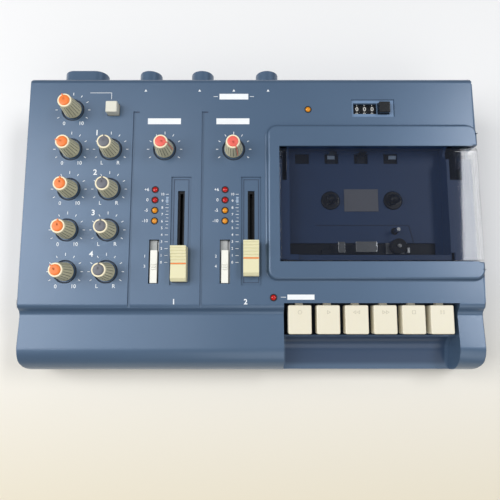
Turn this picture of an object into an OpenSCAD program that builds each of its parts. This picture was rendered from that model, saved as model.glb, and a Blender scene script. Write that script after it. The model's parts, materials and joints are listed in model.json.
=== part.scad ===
// Four track cassette recorder with a small mixer, as an assembly of its separate pieces.
// Millimetres.  The body frame has z = 0 on the table and +y to the rear.  The top panel slopes,
// so what stands on it is placed in the panel frame: y = 0 close to the front of the flat panel,
// +y up the slope, and z square to the panel with z = 0 on its surface.

/* [Body] */
// Width of the body
body_w = 300; // [299:1:320]
// Slope of the top panel in degrees
panel_slope = 4; // [3.5:0.5:5]
// Height of the panel above the table where the panel frame starts
panel_h = 41.3; // [41:0.1:46]
// Distance from the start of the panel frame to the rear edge
panel_len = 156; // [153:0.5:165]
// Wall of the top and bottom covers
wall = 2.4; // [2:0.1:2.8]
// Floor of the bottom cover
floor_t = 2.5; // [2:0.1:3]
// Height of the joint between the two covers
split_h = 14; // [12:0.5:15]
// Rounding of the rear top edge
rear_r = 4; // [3:0.5:6]
// Rounding of the front corners, seen from above
front_corner = 6; // [4:0.5:7]
// Rounding of the rear corners, seen from above
rear_corner = 3; // [2:0.5:3.5]
// Clear height under the bottom cover
stand_h = 3; // [2:0.5:3.5]
// Depth of the grooves that divide the panel
groove_d = 0.8; // [0.4:0.1:1]
// Width of the grooves that divide the panel
groove_w = 1.6; // [1:0.1:2]
// Distance of the first groove from the left side
groove_1_in = 71.5; // [70:0.5:73]
// Distance of the second groove from the left side
groove_2_in = 117.7; // [116:0.5:118]

/* [Front curve] */
// Where the panel starts to curve down
curve_y = 3.2; // [2.8:0.1:3.4]
// Length of the curve from the panel to the valley
curve_len = 7.7; // [7:0.1:8.5]
// Depth of the valley under the panel
curve_drop = 4.3; // [4:0.1:5]
// Distance of the nose's centre in front of the panel frame's start
nose_in = 24; // [23:0.5:25]
// Radius of the nose
nose_r = 16; // [15:0.5:17]
// Depth of the nose's crown under the panel
nose_drop = 2.5; // [2:0.1:3]

/* [Knobs] */
// Distance of the level knobs from the left side
level_in = 29.8; // [28:0.2:31]
// Distance of the pan knobs from the left side
pan_in = 56.3; // [55:0.2:57]
// Distance of the first trim knob from the left side
trim_in = 92.3; // [91:0.2:94]
// Place of the rearmost row of knobs
row_y = 105.45; // [104:0.5:106]
// Distance between two rows of knobs
row_pitch = 27.28; // [26:0.5:27.5]
// Place of the phones level knob
phones_knob_y = 132.95; // [132.5:0.1:133.5]
// Radius of a knob at its foot
knob_r = 6.1; // [5.5:0.1:6.5]
// Radius of a knob at its top
knob_top_r = 4.4; // [3.8:0.1:5]
// Height of a knob above the panel
knob_h = 15.6; // [13:0.2:17]
// Gap between a knob and the panel
knob_lift = 0.6; // [0.4:0.1:1]
// Radius of the coloured cap in a knob's top
cap_r = 3.4; // [2.8:0.1:3.7]
// Number of flutes around a knob
flutes = 18; // [12:1:24]
// Radius of a knob's spindle
spindle_r = 3; // [2.5:0.1:3.2]
// Depth of the ring sunk around a knob
ring_d = 0.8; // [0.4:0.1:1.2]
// Radius of the ring sunk around a knob
ring_r = 7.7; // [7:0.1:8.2]

/* [Faders] */
// Distance of the first fader from the left side
fader_in = 103.95; // [103:0.1:105]
// Distance from one channel to the next
channel_pitch = 46.05; // [45.5:0.1:47]
// Travel of a fader
fader_travel = 45; // [40:1:45]
// Place of a fader's line at its lower stop
fader_y = 28.2; // [28:0.1:28.6]
// Length of a fader cap
fader_l = 22.5; // [20:0.5:23]
// Width of a fader cap
fader_w = 10; // [9:0.5:11]
// Height of a fader cap's top above the panel
fader_h = 10; // [8:0.5:12]
// Width of the recess around a fader
recess_w = 13.2; // [12.5:0.1:13.6]
// Depth of the recess around a fader
recess_d = 1; // [0.6:0.1:1.2]
// Width of a fader's slot
slot_w = 4.5; // [3:0.1:5]
// How far the second fader stands above its lower stop
fader_2_rest = 3.5; // [0:0.5:10]

/* [Switches and lamps] */
// Distance from a fader to its record function switch
rec_switch_in = 17; // [16.5:0.1:17.5]
// Width of a record function slider
slider_w = 5.9; // [5:0.1:6.4]
// Length of a record function slider
slider_l = 21.3; // [19:0.1:22]
// Front end of a record function slider in its lowest place
slider_y = 16.3; // [16:0.1:17]
// Travel of a record function slider over its three places
slider_travel = 6.6; // [6:0.2:7]
// Distance from a fader to its level lamps
lamp_in = 17.2; // [16.8:0.1:17.6]
// Place of the rearmost level lamp
lamp_y = 77.8; // [77:0.2:79]
// Distance between two level lamps
lamp_pitch = 6.97; // [6.5:0.1:7.2]
// Radius of a lamp
lamp_r = 1.8; // [1.5:0.1:2]
// Distance of the mono button from the left side
mono_in = 57.3; // [56.5:0.1:58]
// Side of the mono button
mono_w = 7.6; // [7:0.1:8]
// Height of the mono button above the panel
mono_h = 6; // [5:0.2:7]
// Travel of the mono button
mono_travel = 3; // [2:0.2:3.4]

/* [Counter] */
// Distance of the counter's bezel from the right side
counter_in = 82.2; // [80:0.5:84]
// Width of the counter's bezel
counter_w = 28.9; // [28:0.1:30]
// Depth of the counter's bezel from front to rear
counter_l = 12.2; // [11.5:0.1:13]
// Place of the counter's middle
counter_y = 134.2; // [133.5:0.1:134.8]
// Radius of a number wheel
wheel_r = 6; // [5.5:0.1:6.2]
// Width of a number wheel
wheel_w = 4.9; // [4.5:0.1:5]
// Width of the reset button
reset_w = 7.4; // [6.5:0.1:7.8]
// Travel of the reset button
reset_travel = 2.4; // [1.8:0.1:2.6]

/* [Deck] */
// Height of the raised deck above the panel
deck_h = 3.5; // [3:0.1:4]
// Distance of the raised deck's left foot from the right side
deck_left_in = 140.9; // [140:0.1:141.5]
// Place of the raised deck's front foot
deck_front = 16.7; // [16:0.1:17.5]
// Place of the raised deck's rear foot
deck_rear = 123; // [122:0.2:124]
// Rounding of the raised deck's corners, seen from above
deck_corner = 8; // [6:0.5:9]
// Length of the raised deck's sloped edge
deck_ease = 3.4; // [3:0.1:4]
// Distance of the cassette's middle from the right side
tape_in = 74.7; // [74.4:0.1:75]
// Width of the cassette well
well_w = 104; // [103:0.2:104.4]
// Front edge of the cassette well
well_front = 43.7; // [43.5:0.1:43.9]
// Length of the cassette well
well_l = 64.1; // [64:0.1:64.4]
// Depth of the cassette well's floor under the panel
well_d = 10.7; // [10.4:0.1:11]
// Wall of the cassette well
well_t = 1.6; // [1.4:0.1:1.8]
// Distance between the two reel hubs
hub_pitch = 42.5; // [42:0.1:43]
// Distance of the reel hubs behind the well's front edge
hub_back = 29.3; // [29:0.1:29.6]
// Radius of a reel hub's collar
hub_r = 6.1; // [5.5:0.1:6.3]

/* [Door] */
// Distance of the door's left edge from the right side
door_left_in = 131.1; // [130.8:0.1:131.4]
// Front edge of the door
door_front = 30.3; // [30:0.1:30.8]
// Thickness of the door
door_t = 2; // [1.8:0.1:2.2]
// Distance from the door's pin to its top face, which rounds the rear edge
door_r = 3.8; // [3.7:0.1:4]
// Place of the door's pin
door_pin_y = 102.5; // [102.2:0.1:102.6]
// Radius of the door's pins
door_pin_r = 1; // [0.8:0.1:1.1]
// Depth of the door's side skirt
skirt_d = 13.5; // [12:0.5:14]
// Radius of the door's side arms
arm_r = 17.5; // [16:0.5:17.8]

/* [Keys] */
// Distance of the first key's middle from the right side
key_in = 118.9; // [118.6:0.1:119.2]
// Distance between two keys
key_pitch = 18.18; // [18:0.02:18.3]
// Width of a key
key_w = 14.8; // [13.5:0.1:15.4]
// Rear edge of a key
key_rear = 2.2; // [2:0.1:2.4]
// Length of a key
key_l = 18.3; // [17.5:0.1:18.4]
// Height of a key from its top to its lower edge
key_t = 9; // [8:0.2:9.4]
// Depth of a key's top under the panel
key_drop = 0.3; // [0.2:0.1:0.6]
// Place of the key shaft
key_shaft_y = 26; // [25.5:0.1:26.2]
// Depth of the key shaft under the panel
key_shaft_d = 10; // [9.5:0.1:10.2]
// Radius of the key shaft
key_shaft_r = 2; // [1.8:0.1:2.2]
// Distance of the key bay's left wall from the right side
bay_left_in = 129; // [128.6:0.1:129.4]
// Distance of the key bay's right wall from the right side
bay_right_in = 16.7; // [16.4:0.1:17]
// Radius of the hollow in front of the keys
scoop_r = 10.4; // [10:0.1:10.8]

/* [Mechanism] */
// Thickness of the deck chassis
chassis_t = 1.5; // [1.2:0.1:1.8]
// Travel of the head bridge
bridge_travel = 4.5; // [4:0.1:4.6]
// Radius of the pinch roller
roller_r = 5; // [4.6:0.1:5.1]
// Place of the pinch roller when the machine is stopped
roller_y = 40.7; // [40.6:0.1:40.9]
// Distance of the pinch roller to the right of the cassette's middle
roller_out = 21.6; // [21.2:0.1:22]
// Radius of the capstan
capstan_r = 1.25; // [1:0.05:1.5]
// Radius of the flywheel
flywheel_r = 20; // [17:0.5:20.5]
// Radius of the motor
motor_r = 14; // [12:0.5:14.4]
// Height of the motor
motor_h = 16; // [14:0.5:16]
// Radius of the motor's pulley
pulley_r = 3.5; // [3:0.1:4]

/* [Rear sockets] */
// Radius of a socket's boss
boss_r = 7.8; // [7.4:0.1:8]
// How far a boss stands out behind
boss_l = 10; // [10:0.5:12]
// Height of the sockets' axis above the table
socket_h = 36.3; // [35.8:0.1:36.8]
// Distance of the phones socket from the left side
phones_in = 78.6; // [78:0.1:79]
// Distance of the first input socket from the left side
input_1_in = 115.4; // [115:0.1:116]
// Distance of the second input socket from the left side
input_2_in = 161.2; // [161:0.1:162]
// Distance of the line out sockets' middle from the left side
line_out_in = 33; // [32.5:0.1:33.5]
// Distance between the two line out sockets
line_out_pitch = 14.6; // [14.4:0.1:15]
// Radius of the bore that takes a quarter inch plug
plug_r = 3.2; // [3.2:0.01:3.25]
// Distance of the power inlet from the right side
inlet_in = 30; // [28:0.5:34]
// Distance of the input selector from the left side
selector_in = 138.3; // [138:0.1:139]

/* [Fits] */
// Running clearance of a shaft in its bore
run_c = 0.06; // [0.04:0.01:0.08]
// Clearance of a moving piece in its opening
free_c = 0.35; // [0.3:0.05:0.4]

/* [Hidden] */
$fn = 48;
LEFT = -body_w / 2;
RIGHT = body_w / 2;
SIN = sin(panel_slope);
COS = cos(panel_slope);
DEEP = 90;

// places in the panel frame as distances in the body frame
function along(y, z) = y * COS - z * SIN;
function above(y, z) = panel_h + y * SIN + z * COS;

nose_z = -nose_drop - nose_r;
rear_y = panel_len - rear_r;
front_reach = along(-nose_in, nose_z) - nose_r;
rear_reach = along(rear_y, -rear_r) + rear_r;
origin_y = -(front_reach + rear_reach + boss_l) / 2;
front_wall = origin_y + front_reach;
rear_wall = origin_y + rear_reach;

// the curve between panel and valley is two arcs of one radius
curve_r = (curve_len * curve_len + curve_drop * curve_drop) / (4 * curve_drop);
valley_y = curve_y - curve_len;
curve_turn = 2 * atan(curve_drop / curve_len);
ARC_STEPS = 10;

// knobs
level_x = LEFT + level_in;
pan_x = LEFT + pan_in;
trim_x = LEFT + trim_in;
pot_top = -wall - 1;
board_z = -10;
board_t = 1.6;
pot_w = 12;
collar_r = 3.9;
spindle_end = board_z + 0.8;
hole_r = spindle_r + 0.5;
phones_rest = -20;
level_rest = [-75, 0, 0, -45];
pan_rest = [0, 0, 0, 0];
trim_rest = [100, 150];

// faders and switches
fader_x = LEFT + fader_in;
recess_l = fader_travel + fader_l + 4.2;
recess_y = fader_y - fader_l / 2 - 2.1;
lever_w = 1.6;
lever_l = 4;
lever_end = board_z + 1.6;
slide_w = 9;
switch_w = 8;
switch_top = -wall - 1.6;
slider_top = 0.3;
mono_x = LEFT + mono_in;
lamp_h = 0.9;
power_lamp = [RIGHT - 111.6, 133.3];
record_lamp = [RIGHT - 135.7, 7];

// counter
counter_x = RIGHT - counter_in;
counter_z = -0.8;
counter_depth = 15.5;
wheel_gap = 0.25;
wheels_x = counter_x + 1.6;
axle_r = 1;
axle_z = -1.6 - wheel_r - 0.3;
reset_x = counter_x + counter_w - 3.5 - reset_w;
reset_h = 3;
reset_floor = -counter_depth + 2;
wheels_end = wheels_x + 3 * wheel_w + 2 * wheel_gap + 0.5;
window_l = 7.6;
window_t = 0.9;
groove_front = 0.6;
groove_rear = 131.8;

// deck and door
deck_x = RIGHT - deck_left_in;
step_in = 0.15;
deck_over = 1.5;
foot_down = 0.04;
ease_h = deck_h + foot_down;
ease_r = (deck_ease * deck_ease + ease_h * ease_h) / (4 * ease_h);
ease_turn = 2 * atan(ease_h / deck_ease);
tape_x = RIGHT - tape_in;
well_x = tape_x - well_w / 2 + 2;
well_rear = well_front + well_l;
tub_top = 0.6;
tub_bottom = -well_d - well_t;
door_x = RIGHT - door_left_in;
door_pin_z = deck_h - door_r;
door_edge = door_pin_y + sqrt(door_r * door_r - (door_r - door_t) * (door_r - door_t));
skirt_out = 0.8;
skirt_t = 2.4;
skirt_x = RIGHT - skirt_out - skirt_t;
left_arm = [door_x + 1.9, door_x + 4.3];
right_arm = [RIGHT - 14.2, RIGHT - 11.2];
right_slot = RIGHT - 18.6;
ear_r = door_r - door_t - 0.2;
ear_t = 2.2;
ear_front = door_pin_y - 9;
sweep_r = door_r + free_c;
left_ear = door_x - 0.7;
right_ear = right_arm[1] + 0.5;
hub_y = well_front + hub_back;
strip_front = 34.8;
ledge_z = -2;

// keys
key_x = RIGHT - key_in;
key_front = key_rear - key_l;
KEYS = 6;
hub_len = 10;
lever_hub_r = 4.5;
key_wall = 1.6;
bay_left = RIGHT - bay_left_in;
bay_right = RIGHT - bay_right_in;
bay_rear = 3.5;
rim_y = key_front - 2;
rim_z = -key_drop - key_t - 0.4;
rim_t = 1.2;
scoop_y = rim_y - scoop_r;
scoop_z = rim_z;
scoop_fall = 2;

// mechanism
chassis_top = tub_bottom;
chassis_z = chassis_top - chassis_t;
plate_left = RIGHT - 124;
plate_right = RIGHT - 22;
tab_left = RIGHT - 139;
tab_right = RIGHT - 4;
post_r = 3;
post_rear = 112;
posts = [[tab_left + 3, key_shaft_y], [tab_right - 4, key_shaft_y],
    [tab_left + 3, post_rear], [tab_right - 4, post_rear]];
ear_left = RIGHT - 132.5;
ear_right = RIGHT - 13;
shaft_end = 0.3;
roller_x = tape_x + roller_out;
capstan_y = roller_y + bridge_travel + roller_r + capstan_r + 0.3;
bush_r = 4;
reel_pulley_z = chassis_z - 3.4;
flywheel_z = chassis_z - 21.7;
flywheel_t = 6;
motor_at = [RIGHT - 111.5, 92.5];
belt_z = flywheel_z + 2;
shelf_z = -well_d + 0.6;
shelf_t = 1;
bridge_front = strip_front + 1;
head_h = 8;
pad_pitch = 20.3;
pad_x = [for (k = [0:3]) tape_x - 2 * pad_pitch + 0.6 + k * pad_pitch];
chassis_front = 33;
chassis_rear = 116;
hub_shaft_r = 1.5;
roller_pin_r = 1.25;

// the board on the floor
board_low = 10;
board_front = front_wall + 26;
board_rear = rear_wall - 26;
board_left = LEFT + 16;
board_right = LEFT + 146;

// covers and sockets
screw_r = 1.45;
screw_post_r = 4;
post_top = split_h + 2;
screw_x = [LEFT + 8, RIGHT - 145, RIGHT - 8];
rear_screw_x = [LEFT + 8, RIGHT - 94, RIGHT - 8];
front_screw_y = front_wall + 15;
rear_screw_y = rear_wall - 10;
foot_r = 8;
foot_in = 24;
sockets = [LEFT + phones_in, LEFT + input_1_in, LEFT + input_2_in];
boss_end = rear_wall + boss_l;
boss_t = 2.5;
bushing_r = 4.5;
jack_front = rear_wall - 18;
line_out_x = LEFT + line_out_in;
barrel_r = 4.15;
pocket_r = 6.3;
pocket_l = 9;
inlet_x = RIGHT - inlet_in;
inlet_h = 30;
selector_x = LEFT + selector_in;
selector_travel = 3;

// ---- frames ----

// what stands on the sloped panel
module on_panel() {
    translate([0, origin_y, panel_h]) rotate([panel_slope, 0, 0]) children();
}

// a flat shape drawn as (y, z) and drawn out along x from x0 to x1
module across(x0, x1) {
    translate([x0, 0, 0]) rotate([90, 0, 90]) linear_extrude(x1 - x0) children();
}

// a box from one corner to the other
module block(a, b) {
    translate(a) cube(b - a);
}

// the same flat panel frame for shapes drawn as (y, z)
module panel_plane() {
    translate([origin_y, panel_h]) rotate(panel_slope) children();
}

// ---- side profile, moved inwards by t, and cut off at the height low ----

function from_panel(p) = [origin_y + along(p[0], p[1]), above(p[0], p[1])];

function arc(centre, r, start, end) = [for (i = [0:ARC_STEPS])
    centre + r * [cos(start + (end - start) * i / ARC_STEPS), sin(start + (end - start) * i / ARC_STEPS)]];

function side_points(t, low) = concat(
    [[front_wall + t, low]],
    arc(from_panel([-nose_in, nose_z]), nose_r - t, 180, 90 + panel_slope),
    [for (p = arc([valley_y, curve_r - curve_drop], curve_r + t, -90, curve_turn - 90)) from_panel(p)],
    [for (i = [1:ARC_STEPS]) from_panel(arc([curve_y, -curve_r], curve_r - t, 90 + curve_turn, 90)[i])],
    arc(from_panel([rear_y, -rear_r]), rear_r - t, 90 + panel_slope, 0),
    [[rear_wall - t, low]]);

module side_section(t, low) {
    polygon(side_points(t, low));
}

// ---- top cover ----

// the raised deck: its edges ease down in an s-curve of two arcs and go round its corners
function rest(points) = [for (i = [1:len(points) - 1]) points[i]];

// one edge, lowered by down, as (distance, z) with its foot at the distance reach
function ease_points(reach, down) = concat(
    arc([reach, ease_r - foot_down - down], ease_r, 270, 270 - ease_turn),
    rest(arc([reach - deck_ease, deck_h - ease_r - down], ease_r, 90 - ease_turn, 90)));

function mirrored(points) = [for (i = [len(points) - 1:-1:0]) [-points[i][0], points[i][1]]];

module deck_profile(reach) {
    edge = ease_points(reach, 0);
    polygon(concat([[-reach, -wall / 2], [reach, -wall / 2]], edge, mirrored(edge)));
}

// a corner stands a hair lower than the straight edges, so that their surfaces don't coincide
module deck_corner_disc() {
    rotate_extrude() polygon(concat([[0, deck_h - foot_down], [0, -wall / 2], [deck_corner, -wall / 2]],
        ease_points(deck_corner, foot_down)));
}

module raised_deck() {
    half = [(RIGHT + deck_over - deck_x) / 2, (deck_rear - deck_front) / 2];
    inner = [half[0] - deck_corner, half[1] - deck_corner];
    difference() {
        translate([deck_x + half[0], deck_front + half[1], 0]) {
            for (x = [-1, 1]) for (y = [-1, 1])
                translate([x * inner[0], y * inner[1], 0]) deck_corner_disc();
            across(-inner[0], inner[0]) deck_profile(half[1]);
            translate([0, inner[1], 0]) rotate([90, 0, 0]) linear_extrude(2 * inner[1])
                deck_profile(half[0]);
        }
        block([RIGHT - step_in, deck_front - 1, -wall], [RIGHT + 2 * deck_over, deck_rear + 1, deck_h + 1]);
    }
}

// the skin of the hollow in front of the keys, as (y, z), moved inwards by t
module scoop_section(t) {
    difference() {
        translate([scoop_y, -DEEP]) square([rim_y + rim_t - t - scoop_y, DEEP + rim_z - t]);
        translate([scoop_y, scoop_z]) circle(scoop_r + t);
    }
    polygon([[scoop_y - DEEP / 2, -DEEP],
        [scoop_y - DEEP / 2, scoop_z - scoop_r - scoop_fall * DEEP / 20 - t],
        [scoop_y, scoop_z - scoop_r - t], [scoop_y, -DEEP]]);
}

module scoop() {
    across(bay_left - wall, bay_right + wall) intersection() {
        side_section(0, split_h);
        panel_plane() difference() {
            scoop_section(0);
            scoop_section(wall);
        }
    }
    across(bay_left, bay_right) intersection() {
        difference() {
            side_section(0, split_h);
            side_section(wall, split_h);
        }
        panel_plane() scoop_section(0);
    }
}

module bay_walls() {
    for (x = [bay_left - wall, bay_right]) across(x, x + wall) intersection() {
        side_section(0, split_h);
        panel_plane() translate([-DEEP, rim_z - scoop_r - wall]) square([DEEP + bay_rear, DEEP]);
    }
}

// the space above the hollow and the opening that the keys stand in
module bay_space() {
    across(bay_left, bay_right) panel_plane() {
        translate([rim_y + rim_t, -DEEP / 2]) square([bay_rear - rim_y - rim_t, DEEP]);
        difference() {
            translate([-DEEP, -DEEP / 2]) square([DEEP + bay_rear, DEEP]);
            scoop_section(0);
            translate([rim_y + rim_t, -DEEP]) square([DEEP, 2 * DEEP]);
        }
    }
}

module row_place(i) {
    translate([0, row_y - i * row_pitch, 0]) children();
}

// every place of a rotary control
module pot_places() {
    translate([level_x, phones_knob_y, 0]) children();
    for (i = [0:3]) {
        translate([level_x, 0, 0]) row_place(i) children();
        translate([pan_x, 0, 0]) row_place(i) children();
    }
    for (c = [0:1]) translate([trim_x + c * channel_pitch, row_y, 0]) children();
}

module channels() {
    for (c = [0:1]) translate([fader_x + c * channel_pitch, 0, 0]) children();
}

module lamp_hole() {
    translate([0, 0, -wall - 1]) cylinder(r = lamp_r + 0.15, h = wall + 2);
}

module panel_cuts() {
    pot_places() {
        translate([0, 0, -ring_d]) cylinder(r = ring_r, h = 5);
        translate([0, 0, -wall - 1]) cylinder(r = hole_r, h = wall + 2);
    }
    channels() {
        block([-recess_w / 2, recess_y, -recess_d], [recess_w / 2, recess_y + recess_l, 5]);
        block([-slot_w / 2, fader_y - lever_l, -wall - 1],
            [slot_w / 2, fader_y + fader_travel + lever_l, 5]);
        block([-rec_switch_in - slider_w / 2 - free_c, slider_y - free_c, -wall - 1],
            [-rec_switch_in + slider_w / 2 + free_c, slider_y + slider_l + slider_travel + free_c, 5]);
        for (i = [0:3]) translate([-lamp_in, lamp_y - i * lamp_pitch, 0]) lamp_hole();
    }
    translate(power_lamp) lamp_hole();
    translate(record_lamp) lamp_hole();
    block([mono_x - mono_w / 2 - free_c, phones_knob_y - mono_w / 2 - free_c, -wall - 1],
        [mono_x + mono_w / 2 + free_c, phones_knob_y + mono_w / 2 + free_c, 5]);
    block([counter_x, counter_y - counter_l / 2, -wall - 1],
        [counter_x + counter_w, counter_y + counter_l / 2, 5]);
    for (x = [LEFT + groove_1_in, LEFT + groove_2_in])
        block([x - groove_w / 2, groove_front, -groove_d], [x + groove_w / 2, groove_rear, 5]);
}

// the opening under the door, its open right side and the room for its rear edge
module door_cuts() {
    block([door_x - free_c, door_front - free_c, -wall - 2],
        [RIGHT + 1, door_pin_y + sweep_r, deck_h + 5]);
    block([skirt_x - 0.4, door_front - 2 * free_c, deck_h - skirt_d - free_c - door_t],
        [RIGHT + 1, door_pin_y + sweep_r + free_c, deck_h + 6]);
}

module deck_posts() {
    for (p = posts) translate([p[0], p[1], chassis_top]) difference() {
        cylinder(r = post_r, h = deck_h - wall / 2 - chassis_top);
        translate([0, 0, -1]) cylinder(r = screw_r + 0.05, h = 8);
    }
}

module screw_places() {
    for (x = screw_x) translate([x, front_screw_y, 0]) children();
    for (x = rear_screw_x) translate([x, rear_screw_y, 0]) children();
}

module screw_bosses() {
    for (x = screw_x) translate([x, front_screw_y, post_top])
        cylinder(r = screw_post_r, h = above(-nose_in, -nose_drop) - wall / 2 - post_top);
    for (x = rear_screw_x) translate([x, rear_screw_y, post_top])
        cylinder(r = screw_post_r, h = above(rear_y - 3, 0) - wall / 2 - post_top);
}

module socket_bosses() {
    for (x = sockets) translate([x, rear_wall - wall, socket_h]) rotate([-90, 0, 0])
        cylinder(r = boss_r, h = boss_l + wall);
    for (s = [-1, 1]) translate([line_out_x + s * line_out_pitch / 2, rear_wall - wall, socket_h])
        rotate([-90, 0, 0]) cylinder(r = boss_r, h = boss_l + wall);
    block([line_out_x - line_out_pitch / 2, rear_wall - wall, socket_h - boss_r],
        [line_out_x + line_out_pitch / 2, boss_end, socket_h + boss_r]);
}

module socket_cuts() {
    for (x = sockets) {
        translate([x, rear_wall - wall - 1, socket_h]) rotate([-90, 0, 0])
            cylinder(r = boss_r - wall, h = boss_l + wall + 1 - boss_t);
        translate([x, rear_wall, socket_h]) rotate([-90, 0, 0])
            cylinder(r = bushing_r + 0.1, h = boss_l + 1);
    }
    for (s = [-1, 1]) translate([line_out_x + s * line_out_pitch / 2, 0, socket_h]) {
        translate([0, boss_end - pocket_l, 0]) rotate([-90, 0, 0]) cylinder(r = pocket_r, h = pocket_l + 1);
        translate([0, rear_wall - wall - 1, 0]) rotate([-90, 0, 0]) cylinder(r = barrel_r + 0.1, h = DEEP);
    }
    block([inlet_x - 4.6, rear_wall - wall - 1, inlet_h - 4.6],
        [inlet_x + 4.6, rear_wall + 1, inlet_h + 4.6]);
    block([selector_x - 3 - selector_travel / 2, rear_wall - wall - 1, socket_h - 2],
        [selector_x + 3 + selector_travel / 2, rear_wall + 1, socket_h + 2]);
}

// what the rounded corners of the body take away
module corner_cuts() {
    for (side = [-1, 1]) {
        corner_cut(side, -1, front_wall, front_corner);
        corner_cut(side, 1, rear_wall, rear_corner);
    }
}

module corner_cut(side, end, y, r) {
    difference() {
        translate([side * (RIGHT - r / 2 + 0.5), y + end * (1 - r) / 2, DEEP / 2])
            cube([r + 1, r + 1, DEEP + 2], center = true);
        translate([side * (RIGHT - r), y - end * r, -2]) cylinder(r = r, h = DEEP + 4);
    }
}

// the inside of the raised deck, open to the space under the panel
module deck_hollow() {
    block([deck_x + deck_ease + wall, deck_front + deck_ease + wall, -wall - 1],
        [RIGHT - wall - step_in, deck_rear - deck_ease - wall, deck_h - wall]);
}

module top_cover() {
    color("slategray") difference() {
        union() {
            difference() {
                union() {
                    across(LEFT, RIGHT) side_section(0, split_h);
                    on_panel() raised_deck();
                }
                across(LEFT + wall, RIGHT - wall) side_section(wall, split_h - 1);
                on_panel() deck_hollow();
                bay_space();
            }
            scoop();
            bay_walls();
            on_panel() deck_posts();
            screw_bosses();
            socket_bosses();
        }
        on_panel() {
            panel_cuts();
            door_cuts();
        }
        socket_cuts();
        corner_cuts();
        screw_places() translate([0, 0, post_top - 1]) cylinder(r = screw_r + 0.05, h = 13);
    }
}

// ---- bottom cover ----

module foot_places() {
    for (x = [LEFT + foot_in, RIGHT - foot_in]) for (y = [front_wall + foot_in, rear_wall - foot_in])
        translate([x, y, 0]) children();
}

module bottom_cover() {
    floor_z = stand_h + floor_t;
    color("dimgray") difference() {
        union() {
            difference() {
                block([LEFT, front_wall, stand_h], [RIGHT, rear_wall, split_h]);
                block([LEFT + wall, front_wall + wall, floor_z],
                    [RIGHT - wall, rear_wall - wall, split_h + 1]);
            }
            foot_places() translate([0, 0, stand_h]) cylinder(r = foot_r + 2, h = floor_t + 2);
            screw_places() translate([0, 0, stand_h]) cylinder(r = screw_post_r, h = post_top - stand_h);
            board_places() translate([0, 0, stand_h]) cylinder(r = 3, h = board_low - stand_h);
        }
        corner_cuts();
        foot_places() translate([0, 0, stand_h - 1]) cylinder(r = foot_r + 0.1, h = 3);
        screw_places() {
            translate([0, 0, stand_h - 1]) cylinder(r = 3.3, h = 7);
            translate([0, 0, stand_h]) cylinder(r = screw_r + 0.15, h = post_top);
        }
    }
}

module rubber_feet() {
    color("black") foot_places() cylinder(r = foot_r, h = stand_h + 2);
}

module screws() {
    color("silver") {
        screw_places() {
            translate([0, 0, stand_h + 4]) cylinder(r = 3, h = 2);
            translate([0, 0, stand_h + 5]) cylinder(r = screw_r, h = post_top + 6 - stand_h);
        }
        on_panel() for (p = posts) translate([p[0], p[1], chassis_z]) {
            translate([0, 0, -2]) cylinder(r = 2.8, h = 2);
            translate([0, 0, -1]) cylinder(r = screw_r, h = chassis_t + 6);
        }
    }
}

// ---- boards and what is soldered to them ----

module board_places() {
    for (x = [board_left + 5, board_right - 5]) for (y = [board_front + 5, board_rear - 5])
        translate([x, y, 0]) children();
}

module main_board() {
    color("darkgreen") block([board_left, board_front, board_low],
        [board_right, board_rear, board_low + board_t]);
}

module panel_board() {
    z = board_z - board_t;
    color("darkgreen") on_panel() {
        block([LEFT + 14, 12, z], [LEFT + 158, 122, board_z]);
        block([LEFT + 14, 120, z], [LEFT + 66, 140.5, board_z]);
        block([LEFT + 150, 2, z], [record_lamp[0] + 3.5, 14, board_z]);
        block([LEFT + 150, 118, z], [power_lamp[0] + 4, 122, board_z]);
        block([power_lamp[0] - 5, 118, z], [power_lamp[0] + 4, 138, board_z]);
    }
}

module rotary_pots() {
    color("gray") on_panel() pot_places() difference() {
        union() {
            block([-pot_w / 2, -pot_w / 2, board_z], [pot_w / 2, pot_w / 2, pot_top]);
            translate([0, 0, pot_top - 1]) cylinder(r = collar_r, h = -wall - pot_top + 1);
        }
        translate([0, 0, spindle_end - 0.3]) cylinder(r = spindle_r + run_c, h = DEEP);
    }
}

module slide_pots() {
    color("gray") on_panel() channels() difference() {
        block([-slide_w / 2, fader_y - 8, board_z], [slide_w / 2, fader_y + fader_travel + 8, -wall]);
        block([-lever_w / 2 - free_c, fader_y - lever_l / 2 - free_c, lever_end - free_c],
            [lever_w / 2 + free_c, fader_y + fader_travel + lever_l / 2 + free_c, 0]);
    }
}

module switch_bodies() {
    color("gray") {
        on_panel() {
            channels() translate([-rec_switch_in, slider_y + slider_l / 2, 0]) difference() {
                block([-switch_w / 2, -slider_l / 2, board_z],
                    [switch_w / 2, slider_l / 2 + slider_travel, switch_top]);
                block([-lever_w / 2 - free_c, -lever_l / 2 - free_c, lever_end - free_c],
                    [lever_w / 2 + free_c, lever_l / 2 + slider_travel + free_c, 0]);
            }
            translate([mono_x, phones_knob_y, 0]) difference() {
                block([-mono_w / 2 - 1, -mono_w / 2 - 1, board_z], [mono_w / 2 + 1, mono_w / 2 + 1, -wall]);
                block([-mono_w / 2 - free_c, -mono_w / 2 - free_c, -wall - mono_travel - 2],
                    [mono_w / 2 + free_c, mono_w / 2 + free_c, 0]);
            }
        }
        difference() {
            block([selector_x - 7, rear_wall - wall - 5, socket_h - 4],
                [selector_x + 7, rear_wall - wall, socket_h + 4]);
            block([selector_x - 1.5 - selector_travel / 2, rear_wall - wall - 3.5, socket_h - 1.5],
                [selector_x + 1.5 + selector_travel / 2, rear_wall, socket_h + 1.5]);
        }
    }
}

module lamp() {
    translate([0, 0, board_z]) cylinder(r = lamp_r, h = lamp_h - lamp_r / 2 - board_z);
    translate([0, 0, lamp_h - lamp_r / 2]) intersection() {
        translate([0, 0, -lamp_r]) sphere(r = lamp_r * sqrt(2));
        cylinder(r = lamp_r, h = lamp_r);
    }
}

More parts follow.
